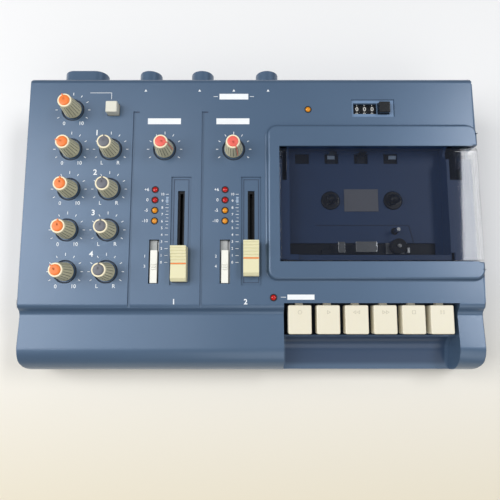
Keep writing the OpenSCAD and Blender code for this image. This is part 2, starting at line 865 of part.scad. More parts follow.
module red_lamps() {
    color("red") on_panel() {
        channels() for (i = [0:1]) translate([-lamp_in, lamp_y - i * lamp_pitch, 0]) lamp();
        translate(record_lamp) lamp();
    }
}

module amber_lamps() {
    color("orange") on_panel() {
        channels() for (i = [2:3]) translate([-lamp_in, lamp_y - i * lamp_pitch, 0]) lamp();
        translate(power_lamp) lamp();
    }
}

// ---- knobs ----

// turn is how far the pointer stands from straight ahead, clockwise, at rest
module knob(turn) {
    slope = atan((knob_r - knob_top_r) / (knob_h - knob_lift));
    rotate(-turn) {
        difference() {
            translate([0, 0, knob_lift]) cylinder(r1 = knob_r, r2 = knob_top_r, h = knob_h - knob_lift);
            for (i = [0:flutes - 1]) rotate(i * 360 / flutes) translate([knob_r, 0, knob_lift + 2.4])
                rotate([0, -slope, 0]) translate([-0.35, -0.4, 0]) cube([2, 0.8, knob_h]);
            translate([0, 0, knob_h - 0.4]) cylinder(r = cap_r, h = 1);
            translate([-0.5, cap_r - 0.5, knob_h - 0.4]) cube([1, knob_r, 1]);
        }
        translate([0, 0, spindle_end]) cylinder(r = spindle_r, h = knob_lift + 1 - spindle_end);
    }
}

module knob_at(x, y, turn, shade) {
    color(shade) on_panel() translate([x, y, 0]) knob(turn);
}

module phones_level_knob() {
    knob_at(level_x, phones_knob_y, phones_rest, "ivory");
}

module level_knob(i) {
    knob_at(level_x, row_y - i * row_pitch, level_rest[i], "ivory");
}

module pan_knob(i) {
    knob_at(pan_x, row_y - i * row_pitch, pan_rest[i], "ivory");
}

module trim_knob(c) {
    knob_at(trim_x + c * channel_pitch, row_y, trim_rest[c], "ivory");
}

// ---- faders, switches and buttons ----

module fader_cap(c, rest) {
    low = 0.6 - recess_d;
    color("ivory") on_panel() translate([fader_x + c * channel_pitch, fader_y + rest, 0]) {
        difference() {
            across(-fader_w / 2, fader_w / 2) polygon([[-fader_l / 2, low], [-fader_l / 2, fader_h - 4.5],
                [-fader_l / 2 + 2, fader_h - 2.5], [-0.6, fader_h - 3.2],
                [0, fader_h - 3.6], [0.6, fader_h - 3.2],
                [fader_l / 2 - 2.5, fader_h], [fader_l / 2, fader_h - 1.5], [fader_l / 2, low]]);
            for (i = [0:4]) block([-fader_w, 1.8 + i * 1.9, fader_h - 3.4 + i * 0.62],
                [fader_w, 2.5 + i * 1.9, fader_h + 2]);
        }
        block([-lever_w / 2, -lever_l / 2, lever_end], [lever_w / 2, lever_l / 2, low + 1]);
    }
}

module rec_switch(c) {
    x = fader_x + c * channel_pitch - rec_switch_in;
    color("white") on_panel() translate([x, slider_y + slider_l / 2, 0]) {
        block([-slider_w / 2, -slider_l / 2, slider_top - 1.8], [slider_w / 2, slider_l / 2, slider_top]);
        for (k = [-1, 0, 1]) block([-slider_w / 2 + 0.6, k * 1.5 - 0.4, slider_top - 0.2],
            [slider_w / 2 - 0.6, k * 1.5 + 0.4, slider_top + 1.2]);
        block([-lever_w / 2, -lever_l / 2, lever_end], [lever_w / 2, lever_l / 2, slider_top - 1]);
    }
}

module mono_button() {
    color("ivory") on_panel() translate([mono_x, phones_knob_y, 0])
        block([-mono_w / 2, -mono_w / 2, -wall - 1.5], [mono_w / 2, mono_w / 2, mono_h]);
}

// ---- tape counter ----

module counter_housing() {
    front = counter_y - counter_l / 2 + 0.1;
    rear = counter_y + counter_l / 2 - 0.1;
    color("black") on_panel() {
        difference() {
            union() {
                block([counter_x + 0.1, front, -counter_depth],
                    [counter_x + counter_w - 0.1, rear, counter_z]);
                difference() {
                    block([counter_x - 1.5, front - 1.5, -wall - 1.6],
                        [counter_x + counter_w + 1.5, rear + 1.5, -wall]);
                    block([counter_x + 2, front + 2, -DEEP], [counter_x + counter_w - 2, rear - 2, 0]);
                }
            }
            block([wheels_x - 0.3, front - 1, axle_z - wheel_r - 0.5],
                [wheels_end, rear + 1, axle_z + wheel_r - 1.2]);
            block([wheels_x - 0.3, counter_y - window_l / 2, axle_z],
                [wheels_end, counter_y + window_l / 2, 1]);
            block([reset_x - free_c, counter_y - reset_w / 2 - free_c, reset_floor],
                [reset_x + reset_w + free_c, counter_y + reset_w / 2 + free_c, 1]);
        }
        translate([counter_x + 0.3, counter_y, axle_z]) rotate([0, 90, 0])
            cylinder(r = axle_r, h = wheels_end - counter_x - 0.1);
    }
}

module counter_window() {
    color("whitesmoke") on_panel() block([wheels_x - 0.3, counter_y - window_l / 2, counter_z - window_t],
        [wheels_end, counter_y + window_l / 2, counter_z]);
}

module counter_wheel(i) {
    color("black") on_panel() translate([wheels_x + i * (wheel_w + wheel_gap), counter_y, axle_z])
        rotate([0, 90, 0]) difference() {
            cylinder(r = wheel_r, h = wheel_w);
            translate([0, 0, -1]) cylinder(r = axle_r + run_c, h = wheel_w + 2);
            for (k = [0:9]) rotate(k * 36 + 18) translate([wheel_r, 0, -1])
                cylinder(r = 0.3, h = wheel_w + 2);
        }
}

module counter_reset_button() {
    color("black") on_panel() block([reset_x, counter_y - reset_w / 2, reset_floor + reset_travel + 0.4],
        [reset_x + reset_w, counter_y + reset_w / 2, reset_h]);
}

// ---- cassette door ----

module arm_shape() {
    intersection() {
        translate([door_pin_y, door_pin_z]) circle(arm_r);
        translate([door_pin_y - arm_r - 1, door_pin_z - arm_r - 1])
            square([arm_r + 1 + ear_r, arm_r + 1 + door_r - door_t + 0.5]);
    }
}

module cassette_door() {
    color([0.1, 0.12, 0.16]) on_panel() {
        across(door_x, RIGHT - skirt_out) intersection() {
            translate([door_front, deck_h - door_t]) square([door_edge + 1 - door_front, door_t]);
            union() {
                translate([door_front, deck_h - door_t - 1]) square([door_pin_y - door_front, DEEP]);
                translate([door_pin_y, door_pin_z]) circle(door_r);
            }
        }
        block([skirt_x, door_front, deck_h - skirt_d],
            [skirt_x + skirt_t, door_pin_y, deck_h - door_t + 0.1]);
        for (a = [left_arm, right_arm]) across(a[0], a[1]) arm_shape();
        translate([left_ear - 0.1, door_pin_y, door_pin_z]) rotate([0, 90, 0])
            cylinder(r = door_pin_r, h = left_arm[0] - left_ear + 0.6);
        translate([right_arm[1] - 0.5, door_pin_y, door_pin_z]) rotate([0, 90, 0])
            cylinder(r = door_pin_r, h = right_ear + ear_t - right_arm[1] + 0.6);
    }
}

// ---- deck ----

// an upright that holds a pin of the door, with its root in front of the door's rounded edge
module well_ear(x) {
    across(x, x + ear_t) {
        translate([door_pin_y, door_pin_z]) circle(ear_r);
        polygon([[ear_front, tub_bottom], [ear_front, tub_top], [door_pin_y - sweep_r, tub_top],
            [door_pin_y - sweep_r, door_pin_z - sweep_r], [door_pin_y - ear_r, door_pin_z - sweep_r],
            [door_pin_y - ear_r, door_pin_z], [door_pin_y + ear_r, door_pin_z],
            [door_pin_y + ear_r, tub_bottom]]);
    }
}

module cassette_well() {
    rear = well_rear + well_t;
    shelf_front = door_front + 0.5;
    right_wall = well_x + well_w;
    color("steelblue") on_panel() difference() {
        union() {
            difference() {
                union() {
                    block([well_x - well_t, strip_front - well_t - 2.2, tub_bottom],
                        [right_wall + well_t, rear, tub_top]);
                    block([right_wall, shelf_front, tub_top - well_t], [skirt_x - 0.6, rear - 3, tub_top]);
                    block([skirt_x - 0.6 - well_t, shelf_front, deck_h - skirt_d],
                        [skirt_x - 0.6, rear - 3, tub_top]);
                    block([left_ear, shelf_front + 0.6, tub_top - well_t], [well_x, rear - 3, tub_top]);
                }
                translate([left_ear - 1, door_pin_y, door_pin_z]) rotate([0, 90, 0])
                    cylinder(r = sweep_r, h = RIGHT);
            }
            well_ear(left_ear);
            well_ear(right_ear);
        }
        block([well_x, well_front, -well_d], [right_wall, well_rear, 5]);
        block([well_x, strip_front, -well_d], [right_wall, well_front + 1, 5]);
        block([well_x, strip_front, tub_bottom - 1], [right_wall - 5, well_front, 5]);
        block([door_x + 12, strip_front - 5, ledge_z], [right_wall + well_t + 1, strip_front + 1, 5]);
        for (s = [-1, 1]) translate([tape_x + s * hub_pitch / 2, hub_y, tub_bottom - 1])
            cylinder(r = hub_r + 0.4, h = 5);
        translate([roller_x, capstan_y, tub_bottom - 1]) cylinder(r = capstan_r + 1.2, h = 5);
        block([tape_x - 12, hub_y - 7.6, tub_bottom - 1], [tape_x + 11.2, hub_y + 7.8, 5]);
        for (x = pad_x) block([x - 5, well_rear - 9, tub_bottom - 1], [x + 4.6, well_rear - 1.8, 5]);
        block([left_arm[0] - 0.3, door_pin_y - arm_r - 0.7, -DEEP], [left_arm[1] + 0.3, rear - 1, 5]);
        block([right_slot, door_pin_y - arm_r - 0.7, -DEEP], [right_arm[1] + 0.3, door_pin_y + sweep_r, 5]);
        block([left_ear - 1, door_pin_y - ear_r - 0.4, door_pin_z], [right_ear + ear_t + 0.4, rear - 1, 5]);
        translate([left_ear - 1, door_pin_y, door_pin_z]) rotate([0, 90, 0])
            cylinder(r = door_pin_r + run_c, h = RIGHT);
    }
}

module deck_chassis() {
    ear_front = key_shaft_y - 5;
    color("silver") on_panel() difference() {
        union() {
            block([plate_left, chassis_front, chassis_z], [plate_right, chassis_rear, chassis_top]);
            block([tab_left, chassis_front, chassis_z], [tab_right, 42, chassis_top]);
            block([tab_left, 108.5, chassis_z], [tab_right, chassis_rear, chassis_top]);
            block([tab_left, ear_front, chassis_z], [ear_left + chassis_t, chassis_front + 1, chassis_top]);
            block([ear_right, ear_front, chassis_z], [tab_right, chassis_front + 1, chassis_top]);
            for (x = [ear_left, ear_right])
                block([x, ear_front, chassis_z], [x + chassis_t, chassis_front + 0.5, -key_shaft_d + 5]);
            for (s = [-1, 1]) translate([tape_x + s * hub_pitch / 2, hub_y, chassis_z - 3])
                cylinder(r = bush_r, h = 3.5);
            translate([roller_x, capstan_y, chassis_z - 5]) cylinder(r = bush_r, h = 5.5);
            for (s = [-1, 1]) translate([roller_x + 25, capstan_y + s * 5, flywheel_z - 2.4])
                cylinder(r = 2.5, h = chassis_top - flywheel_z + 2.4);
            block([roller_x - 4, capstan_y - 8, flywheel_z - 2.4],
                [roller_x + 28, capstan_y + 8, flywheel_z - 1.2]);
        }
        for (s = [-1, 1]) translate([tape_x + s * hub_pitch / 2, hub_y, chassis_z - 4])
            cylinder(r = hub_shaft_r + run_c, h = 9);
        translate([roller_x, capstan_y, chassis_z - 6]) cylinder(r = capstan_r + run_c, h = 12);
        translate([ear_left - 1, key_shaft_y, -key_shaft_d]) rotate([0, 90, 0])
            cylinder(r = key_shaft_r + 0.05, h = RIGHT);
        for (p = posts) translate([p[0], p[1], chassis_z - 1]) cylinder(r = screw_r + 0.1, h = 4);
    }
}

// leaf springs that press the cassette against the front of the well
module cassette_springs() {
    color("silver") on_panel() for (k = [1, 2]) {
        x = pad_x[k];
        block([x - 2.5, well_rear - 8.4, chassis_top], [x + 2.5, well_rear - 2.4, chassis_top + 0.4]);
        block([x - 2.5, well_rear - 2.8, chassis_top], [x + 2.5, well_rear - 2.4, -4]);
    }
}

// ---- tape drive ----

module reel_hub() {
    rotate_extrude() polygon([[0, reel_pulley_z - 3], [9, reel_pulley_z - 3], [9, reel_pulley_z],
        [hub_shaft_r, reel_pulley_z], [hub_shaft_r, -well_d - 1],
        [hub_r, -well_d - 1], [hub_r, -well_d + 0.4],
        [3.1, -well_d + 0.4], [3.1, -well_d + 6], [1, -well_d + 8.2], [0, -well_d + 8.2]]);
    for (k = [0:2]) rotate(k * 120) block([2, -0.7, -well_d], [4.2, 0.7, -well_d + 5.6]);
}

module supply_reel_hub() {
    color("black") on_panel() translate([tape_x - hub_pitch / 2, hub_y, 0]) reel_hub();
}

module takeup_reel_hub() {
    color("black") on_panel() translate([tape_x + hub_pitch / 2, hub_y, 0]) reel_hub();
}

module capstan_flywheel() {
    color("silver") on_panel() translate([roller_x, capstan_y, 0]) {
        translate([0, 0, flywheel_z - 0.9]) cylinder(r = capstan_r, h = -flywheel_z - 1.1);
        difference() {
            translate([0, 0, flywheel_z]) cylinder(r = flywheel_r, h = flywheel_t);
            translate([0, 0, flywheel_z + 3]) difference() {
                cylinder(r = flywheel_r - 3, h = flywheel_t);
                translate([0, 0, -1]) cylinder(r = 5, h = flywheel_t + 2);
            }
        }
    }
}

module drive_motor() {
    color("silver") on_panel() translate([motor_at[0], motor_at[1], 0]) difference() {
        union() {
            translate([0, 0, chassis_z - motor_h]) cylinder(r = motor_r, h = motor_h);
            translate([0, 0, chassis_z - motor_h - 0.8]) cylinder(r = 3, h = 2);
        }
        translate([0, 0, chassis_z - motor_h - 2]) cylinder(r = 1 + run_c, h = 12);
    }
}

module motor_pulley() {
    low = belt_z - 1.2;
    color("gold") on_panel() translate([motor_at[0], motor_at[1], 0]) {
        translate([0, 0, low]) cylinder(r = pulley_r, h = 3.8);
        translate([0, 0, low]) cylinder(r = 1, h = chassis_z - motor_h + 8 - low);
    }
}

// a belt's outline around a large and a small wheel: two arcs joined by straight runs
function belt_points(big, small) = let (a = [roller_x, capstan_y], b = motor_at,
    turn = atan2(b[1] - a[1], b[0] - a[0]), lean = acos((big - small) / norm(b - a)))
    concat([for (p = [0:24]) a + big * [cos(turn + lean + p * (360 - 2 * lean) / 24),
        sin(turn + lean + p * (360 - 2 * lean) / 24)]],
    [for (p = [0:12]) b + small * [cos(turn - lean + p * lean / 6), sin(turn - lean + p * lean / 6)]]);

module capstan_belt() {
    color("black") on_panel() translate([0, 0, belt_z]) difference() {
        linear_extrude(2) polygon(belt_points(flywheel_r + 1.2, pulley_r + 1.2));
        translate([0, 0, -1]) linear_extrude(4) polygon(belt_points(flywheel_r + 0.4, pulley_r + 0.4));
    }
}

// ---- heads ----

module head_bridge() {
    color("silver") on_panel() {
        block([tape_x - 28, bridge_front, chassis_top + 0.2],
            [tape_x + 32, bridge_front + 3, shelf_z + shelf_t]);
        block([tape_x - 20.8, bridge_front, shelf_z], [tape_x + 29, bridge_front + 7.4, shelf_z + shelf_t]);
    }
}

module tape_heads() {
    top = shelf_z + shelf_t;
    color("silver") on_panel() {
        block([tape_x - 18.3, bridge_front + 0.6, top], [tape_x - 13.8, well_front - 0.2, top + head_h - 1]);
        block([tape_x - 7, bridge_front + 0.8, top], [tape_x + 7, well_front - 0.2, top + head_h]);
    }
}

module pinch_arm() {
    top = shelf_z + shelf_t;
    color("silver") on_panel() translate([roller_x, roller_y, top]) {
        cylinder(r = roller_pin_r, h = 8);
        block([-7, -4.6, 0], [7, 2.8, 0.8]);
        block([5.4, -4.6, 0.5], [7, -1, 6.5]);
    }
}

module pinch_roller() {
    color("black") on_panel() translate([roller_x, roller_y, shelf_z + shelf_t + 1.2]) difference() {
        cylinder(r = roller_r, h = 6);
        translate([0, 0, -1]) cylinder(r = roller_pin_r + run_c, h = 8);
    }
}

// ---- keys ----

module key_shaft() {
    color("silver") on_panel() translate([ear_left - shaft_end, key_shaft_y, -key_shaft_d])
        rotate([0, 90, 0]) cylinder(r = key_shaft_r, h = ear_right - ear_left + chassis_t + 2 * shaft_end);
}

module key(i) {
    top = -key_drop;
    color("ivory") on_panel() translate([key_x + i * key_pitch, 0, 0]) difference() {
        union() {
            difference() {
                block([-key_w / 2, key_front, top - key_t], [key_w / 2, key_rear, top]);
                block([-key_w / 2 + key_wall, key_front + key_wall, top - key_t - 1],
                    [key_w / 2 - key_wall, key_rear - key_wall, top - 2]);
            }
            block([-2.5, key_rear - 2, top - 7.6], [2.5, key_shaft_y, top - 4.2]);
            translate([-hub_len / 2, key_shaft_y, -key_shaft_d]) rotate([0, 90, 0])
                cylinder(r = lever_hub_r, h = hub_len);
        }
        translate([-hub_len, key_shaft_y, -key_shaft_d]) rotate([0, 90, 0])
            cylinder(r = key_shaft_r + run_c, h = 2 * hub_len);
    }
}

module key_springs() {
    start = key_x + hub_len / 2 + 1;
    color("silver") on_panel() for (i = [0:KEYS - 1])
        translate([start + i * key_pitch, key_shaft_y, -key_shaft_d]) rotate([0, 90, 0]) difference() {
            cylinder(r = key_shaft_r + 1.3, h = min(6, key_pitch - hub_len - 2));
            translate([0, 0, -1]) cylinder(r = key_shaft_r + 0.3, h = 10);
        }
}

// ---- rear sockets ----

module phone_jacks() {
    color("dimgray") for (x = sockets) translate([x, 0, socket_h]) difference() {
        union() {
            block([-5.2, jack_front, -5.2], [5.2, rear_wall - wall - 1, 5.2]);
            translate([0, jack_front + 1, 0]) rotate([-90, 0, 0])
                cylinder(r = bushing_r, h = boss_end - jack_front - 1.3);
            translate([0, rear_wall - wall - 2, 0]) rotate([-90, 0, 0])
                cylinder(r = boss_r - wall - 0.1, h = boss_l + wall - boss_t + 2);
        }
        translate([0, jack_front + 2, 0]) rotate([-90, 0, 0]) cylinder(r = plug_r, h = DEEP);
    }
}

module line_out_jacks() {
    inner = rear_wall - wall - 4;
    color("gold") for (s = [-1, 1])
        translate([line_out_x + s * line_out_pitch / 2, 0, socket_h]) difference() {
        union() {
            translate([0, inner, 0]) rotate([-90, 0, 0]) cylinder(r = barrel_r, h = boss_end - inner - 1);
            block([-6.2, rear_wall - wall - 6, -6], [6.2, rear_wall - wall - 1, 6]);
        }
        translate([0, boss_end - 9, 0]) rotate([-90, 0, 0]) difference() {
            cylinder(r = barrel_r - 0.5, h = DEEP);
            translate([0, 0, -1]) cylinder(r = 2.9, h = 8.5);
        }
        translate([0, boss_end - 8, 0]) rotate([-90, 0, 0]) cylinder(r = 1.6, h = DEEP);
    }
}

module input_selector() {
    color("black") {
        block([selector_x - 1 - selector_travel / 2, rear_wall - wall - 3, socket_h - 1.2],
            [selector_x + 1 - selector_travel / 2, rear_wall - 0.2, socket_h + 1.2]);
        block([selector_x - 2.6 - selector_travel / 2, rear_wall - 1.5, socket_h - 1.6],
            [selector_x + 2.6 - selector_travel / 2, rear_wall - 0.2, socket_h + 1.6]);
    }
}

module power_inlet() {
    color("black") translate([inlet_x, 0, inlet_h]) {
        difference() {
            block([-4.5, rear_wall - wall - 10, -4.5], [4.5, rear_wall - 0.3, 4.5]);
            translate([0, rear_wall - wall - 8, 0]) rotate([-90, 0, 0]) cylinder(r = 3.2, h = DEEP);
        }
        translate([0, rear_wall - wall - 9, 0]) rotate([-90, 0, 0]) cylinder(r = 1.05, h = wall + 7);
        block([-6.5, rear_wall - wall - 2, -6], [-4.4, rear_wall - wall, 6]);
        block([4.4, rear_wall - wall - 2, -6], [6.5, rear_wall - wall, 6]);
    }
}

top_cover();
bottom_cover();
rubber_feet();
screws();
main_board();
panel_board();
rotary_pots();
slide_pots();
switch_bodies();
red_lamps();
amber_lamps();
phones_level_knob();
level_knob(0);  // level_knob_1
level_knob(1);  // level_knob_2
level_knob(2);  // level_knob_3
level_knob(3);  // level_knob_4
pan_knob(0);  // pan_knob_1
pan_knob(1);  // pan_knob_2
pan_knob(2);  // pan_knob_3
pan_knob(3);  // pan_knob_4
trim_knob(0);  // trim_knob_1
trim_knob(1);  // trim_knob_2
fader_cap(0, 0);  // fader_cap_1
fader_cap(1, fader_2_rest);  // fader_cap_2
rec_switch(0);  // rec_switch_1
rec_switch(1);  // rec_switch_2
mono_button();
counter_housing();
counter_window();
counter_wheel(2);  // counter_units
counter_wheel(1);  // counter_tens
counter_wheel(0);  // counter_hundreds
counter_reset_button();
cassette_door();
cassette_well();
deck_chassis();
cassette_springs();
supply_reel_hub();
takeup_reel_hub();
capstan_flywheel();
drive_motor();
motor_pulley();
capstan_belt();
head_bridge();
tape_heads();
pinch_arm();
pinch_roller();
key_shaft();
key(0);  // record_key
key(1);  // play_key
key(2);  // rewind_key
key(3);  // fast_forward_key
key(4);  // stop_key
key(5);  // pause_key
key_springs();
phone_jacks();
line_out_jacks();
input_selector();
power_inlet();
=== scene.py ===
"""Looks for a desk-top four track cassette recorder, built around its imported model.

Sizes are in millimetres and become metres in the helpers.  What stands on the sloping top panel is
made in the panel's own frame, x to the right, y up the slope and z square to it, and moved there.
"""
import json
import math
import bpy
from mathutils import Matrix, Vector


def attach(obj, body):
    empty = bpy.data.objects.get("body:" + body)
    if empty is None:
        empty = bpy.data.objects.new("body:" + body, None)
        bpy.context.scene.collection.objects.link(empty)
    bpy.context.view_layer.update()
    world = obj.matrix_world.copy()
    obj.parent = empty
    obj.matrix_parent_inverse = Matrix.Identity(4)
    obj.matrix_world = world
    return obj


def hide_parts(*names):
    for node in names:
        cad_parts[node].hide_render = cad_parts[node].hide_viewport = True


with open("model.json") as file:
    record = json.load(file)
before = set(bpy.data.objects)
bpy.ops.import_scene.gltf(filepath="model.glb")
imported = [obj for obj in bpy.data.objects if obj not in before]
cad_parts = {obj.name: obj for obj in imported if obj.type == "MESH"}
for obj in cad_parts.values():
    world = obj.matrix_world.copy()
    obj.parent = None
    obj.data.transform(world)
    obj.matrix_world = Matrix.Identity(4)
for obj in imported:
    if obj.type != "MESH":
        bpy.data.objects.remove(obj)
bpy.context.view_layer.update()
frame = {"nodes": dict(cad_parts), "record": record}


# ---- Top cover ----
# One moulding with the sloped panel, the raised deck, the hollow before the keys and the socket
# barrels.  It is ABS with a metallic paint; screws from below hold it to the bottom cover.

nodes = frame["nodes"]


def hex_colour(code):
    """The linear colour of an sRGB hex code."""
    parts = [int(code[i:i + 2], 16) / 255 for i in (0, 2, 4)]
    linear = [c / 12.92 if c <= 0.04045 else ((c + 0.055) / 1.055) ** 2.4 for c in parts]
    return (*linear, 1)


def feed(shader, **inputs):
    """Sets a shader node's sockets to values, or to the sockets that feed them."""
    for name, value in inputs.items():
        socket = shader.inputs[name.replace("_", " ")]
        if isinstance(value, bpy.types.NodeSocket):
            shader.id_data.links.new(value, socket)
        else:
            socket.default_value = value
    return shader


def add(material, kind, settings=None, **inputs):
    """Adds a shader node with its settings and its sockets' values or links."""
    made = material.node_tree.nodes.new("ShaderNode" + kind)
    for name, value in (settings or {}).items():
        setattr(made, name, value)
    return feed(made, **inputs)


def start_material(name, **inputs):
    """A new material, its main shader and the object's own coordinates."""
    material = bpy.data.materials.new(name)
    material.use_nodes = True
    shader = material.node_tree.nodes["Principled BSDF"]
    feed(shader, **inputs)
    place = add(material, "TexCoord").outputs["Object"]
    return material, shader, place


def grain(material, shader, place, size, depth, colours=None, patch=20):
    """Adds a bump of a grain size and depth, and patches of two colours, all in millimetres.

    Real grains of 0.03 to 0.2 mm are too fine to show in the render.  They are drawn coarser, and
    the comment on each material gives the size.
    """
    fine = add(material, "TexNoise", Vector=place, Scale=1000 / size, Detail=3.0)
    bump = add(material, "Bump", Strength=1.0, Distance=depth / 1000, Height=fine.outputs["Fac"])
    feed(shader, Normal=bump.outputs["Normal"])
    if colours:
        broad = add(material, "TexNoise", Vector=place, Scale=1000 / patch, Detail=4.0)
        tone = add(material, "MixRGB", Fac=broad.outputs["Fac"],
                   Color1=hex_colour(colours[0]), Color2=hex_colour(colours[1]))
        feed(shader, Base_Color=tone.outputs["Color"])
    return fine


def pick(*pieces):
    """Selects these pieces only; the last one becomes the active one."""
    bpy.ops.object.select_all(action="DESELECT")
    for piece in pieces:
        piece.select_set(True)
    bpy.context.view_layer.objects.active = pieces[-1]


def merge_corners(piece):
    """Merges the doubled corners of a piece."""
    pick(piece)
    bpy.ops.object.mode_set(mode="EDIT")
    bpy.ops.mesh.select_all(action="SELECT")
    bpy.ops.mesh.remove_doubles(threshold=1e-6)
    bpy.ops.object.mode_set(mode="OBJECT")


def twin_of(source, name):
    """A copy of an object, with its own mesh."""
    piece = bpy.data.objects.new(name, source.data.copy())
    bpy.context.scene.collection.objects.link(piece)
    return piece


def copy_of(node):
    """A working copy of a CAD node, without its material and with its doubled corners merged."""
    piece = twin_of(nodes[node], node + "_dressed")
    piece.data.materials.clear()
    pick(piece)
    bpy.ops.mesh.customdata_custom_splitnormals_clear()
    merge_corners(piece)
    return piece


def weigh_edges(piece, sharper, test):
    """Gives a bevel weight to the edges sharper than so many degrees whose ends pass a test."""
    pick(piece)
    bpy.ops.object.mode_set(mode="EDIT")
    bpy.ops.mesh.select_mode(type="EDGE")
    bpy.ops.mesh.select_all(action="DESELECT")
    bpy.ops.mesh.edges_select_sharp(sharpness=math.radians(sharper))
    bpy.ops.object.mode_set(mode="OBJECT")
    weights = piece.data.attributes.new("bevel_weight_edge", "FLOAT", "EDGE")
    for edge in piece.data.edges:
        ends = [piece.data.vertices[i].co for i in edge.vertices]
        weights.data[edge.index].value = float(edge.select and all(test(end) for end in ends))


def round_edges(piece, width, segments=2, sharper=30, weighted=False):
    """Bevels the edges sharper than so many degrees, or those with a bevel weight."""
    pick(piece)
    bevel = piece.modifiers.new("Rounded edges", "BEVEL")
    bevel.width = width / 1000
    bevel.segments = segments
    bevel.limit_method = "WEIGHT" if weighted else "ANGLE"
    bevel.angle_limit = math.radians(sharper)
    bevel.use_clamp_overlap = False
    bevel.miter_outer = "MITER_ARC"
    bevel.face_strength_mode = "FSTR_ALL"
    bpy.ops.object.modifier_apply(modifier=bevel.name)


def smooth(piece, sharper=35):
    """Shades a piece smooth but for its sharp edges, with flat faces kept flat."""
    pick(piece)
    bpy.ops.object.shade_smooth_by_angle(angle=math.radians(sharper))
    weigh = piece.modifiers.new("Flat faces lead", "WEIGHTED_NORMAL")
    weigh.keep_sharp = True
    weigh.use_face_influence = True
    bpy.ops.object.modifier_apply(modifier=weigh.name)


def settle(piece, material, body, slot, *stands_for):
    """Gives a finished piece its material, its body and the CAD nodes it replaces; the slot is not
    used.
    """
    if material:
        piece.data.materials.clear()
        piece.data.materials.append(material)
    if stands_for:
        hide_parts(*stands_for)
    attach(piece, body)
    return piece


# Sprayed metallic paint under a clear coat: an even blue-grey, a soft sheen and a faint sparkle,
# because roughness follows the flakes.  Flakes of 0.05 mm are drawn at 0.35 mm, so that they show,
# and the tone drifts over about 60 mm.
paint, shader, place = start_material("Blue-grey metallic paint, satin", Metallic=0.35,
                                      Coat_Weight=0.5, Coat_Roughness=0.22)
flakes = grain(paint, shader, place, 0.35, 0.012, ("485f79", "4f6782"), 60)
glint = add(paint, "MapRange", Value=flakes.outputs["Fac"], From_Min=0.3, From_Max=0.7,
            To_Min=0.38, To_Max=0.5)
feed(shader, Roughness=glint.outputs["Result"])

# Painted shade: the paint is darkened in the hollow before the keys, where shade falls.  Each row
# is
# one soft edge of the shaded part: an axis, the place in millimetres where the painted shade
# starts, and the place where it is full.
hollow_shade_edges = (("Z", 38, 27), ("X", 22.5, 23.5), ("X", 131, 129.5),
                ("Y", -75, -80), ("Y", -100.5, -97))
split = add(paint, "SeparateXYZ", Vector=place)
hollow_shade = None
for axis, start, full in hollow_shade_edges:
    edge = add(paint, "MapRange", {"interpolation_type": "SMOOTHSTEP"},
               Value=split.outputs[axis], From_Min=start / 1000, From_Max=full / 1000)
    inside = edge.outputs["Result"]
    if hollow_shade is not None:
        both = add(paint, "Math", {"operation": "MULTIPLY"})
        for socket, value in zip(both.inputs, (hollow_shade, inside)):
            paint.node_tree.links.new(value, socket)
        inside = both.outputs["Value"]
    hollow_shade = inside
# The painted shade: a darker blue mixed into the paint's colour inside the hollow.
even_tone = shader.inputs["Base Color"].links[0].from_socket
tone = add(paint, "MixRGB", Fac=hollow_shade, Color1=even_tone, Color2=hex_colour("2f4562"))
feed(shader, Base_Color=tone.outputs["Color"])

# Corners a hair inside the right side are set on it.  Then the sharp edges along both sides get
# a radius, from just above the lower rim upwards; the panel's edges stay as the CAD has them.
near_side, side_band, above_rim, side_radius = 0.2, 6.2, 0.5, 0.8
cover = copy_of("top_cover")
side = max(v.co.x for v in cover.data.vertices)
for vertex in cover.data.vertices:
    if side - near_side / 1000 < vertex.co.x < side:
        vertex.co.x = side
rim_z = min(v.co.z for v in cover.data.vertices)
merge_corners(cover)
weigh_edges(cover, 50, lambda end: abs(end.x) > side - side_band / 1000
            and end.z > rim_z + above_rim / 1000)
round_edges(cover, side_radius, 3, weighted=True)
for vertex in cover.data.vertices:
    vertex.co.x = min(vertex.co.x, side)
smooth(cover)
settle(cover, paint, "machine", "painted_case", "top_cover")


# ---- Bottom cover, feet and screws ----
# A darker tray of textured plastic that closes the machine from below.  It stands on four rubber
# feet that are pressed in, and ten steel screws go up through it into the top cover.

def grained(name, size, depth, colours, patch=20, **inputs):
    """A material with a grain and patches of two colours; the inputs are its shader's values."""
    material, shader, place = start_material(name, **inputs)
    grain(material, shader, place, size, depth, colours, patch)
    return material


def dressed(node, radius, segments=2, sharper=30):
    """A copy of a CAD node with rounded edges, shaded smooth."""
    piece = copy_of(node)
    round_edges(piece, radius, segments, sharper)
    smooth(piece)
    return piece


def paint_node(node, material):
    """Gives a CAD node that stays as it is a procedural material."""
    mesh = nodes[node].data
    mesh.materials.clear()
    mesh.materials.append(material)


# Moulded ABS: dull, dark and even.  Its spark-eroded texture of 0.1 mm is drawn at 0.6 mm.
tray = grained("Dark blue-grey ABS, fine texture", 0.6, 0.03, ("39465a", "3f4d62"), Roughness=0.55)
settle(dressed("bottom_cover", 0.5), tray, "machine", "dark_case", "bottom_cover")

# Moulded rubber: nearly black with no shine.  Its skin texture of 0.2 mm is drawn at 0.8 mm.
rubber = grained("Black rubber, matt", 0.8, 0.04, ("121314", "1b1c1e"), Roughness=0.8)
settle(dressed("rubber_feet", 0.6, 3), rubber, "machine", "rubber", "rubber_feet")

# Zinc plating on pressed steel: a bright grey with cloudy patches; crystals drawn at 0.9 mm.
steel = grained("Zinc plated steel", 0.9, 0.01, ("a9acb0", "c3c6c9"), Metallic=1.0, Roughness=0.32)
paint_node("screws", steel)


# ---- Printed marks ----
# White ink on the panel: scales, numbers, plain boxes, arrows and lines.  It is a thin film,
# printed on the paint through a silk screen.  Here it stands 0.05 mm proud, as its own shape.

# The panel's frame starts in the middle of its front edge and rises 4 degrees to the rear.
panel = Matrix.Translation((0, -0.0636289, 0.0413)) @ Matrix.Rotation(math.radians(4), 4, "X")
ink_low, ink_high = 0.01, 0.05
fine_stroke, small_bold, large_bold = 0.26, 0.02, 0.12


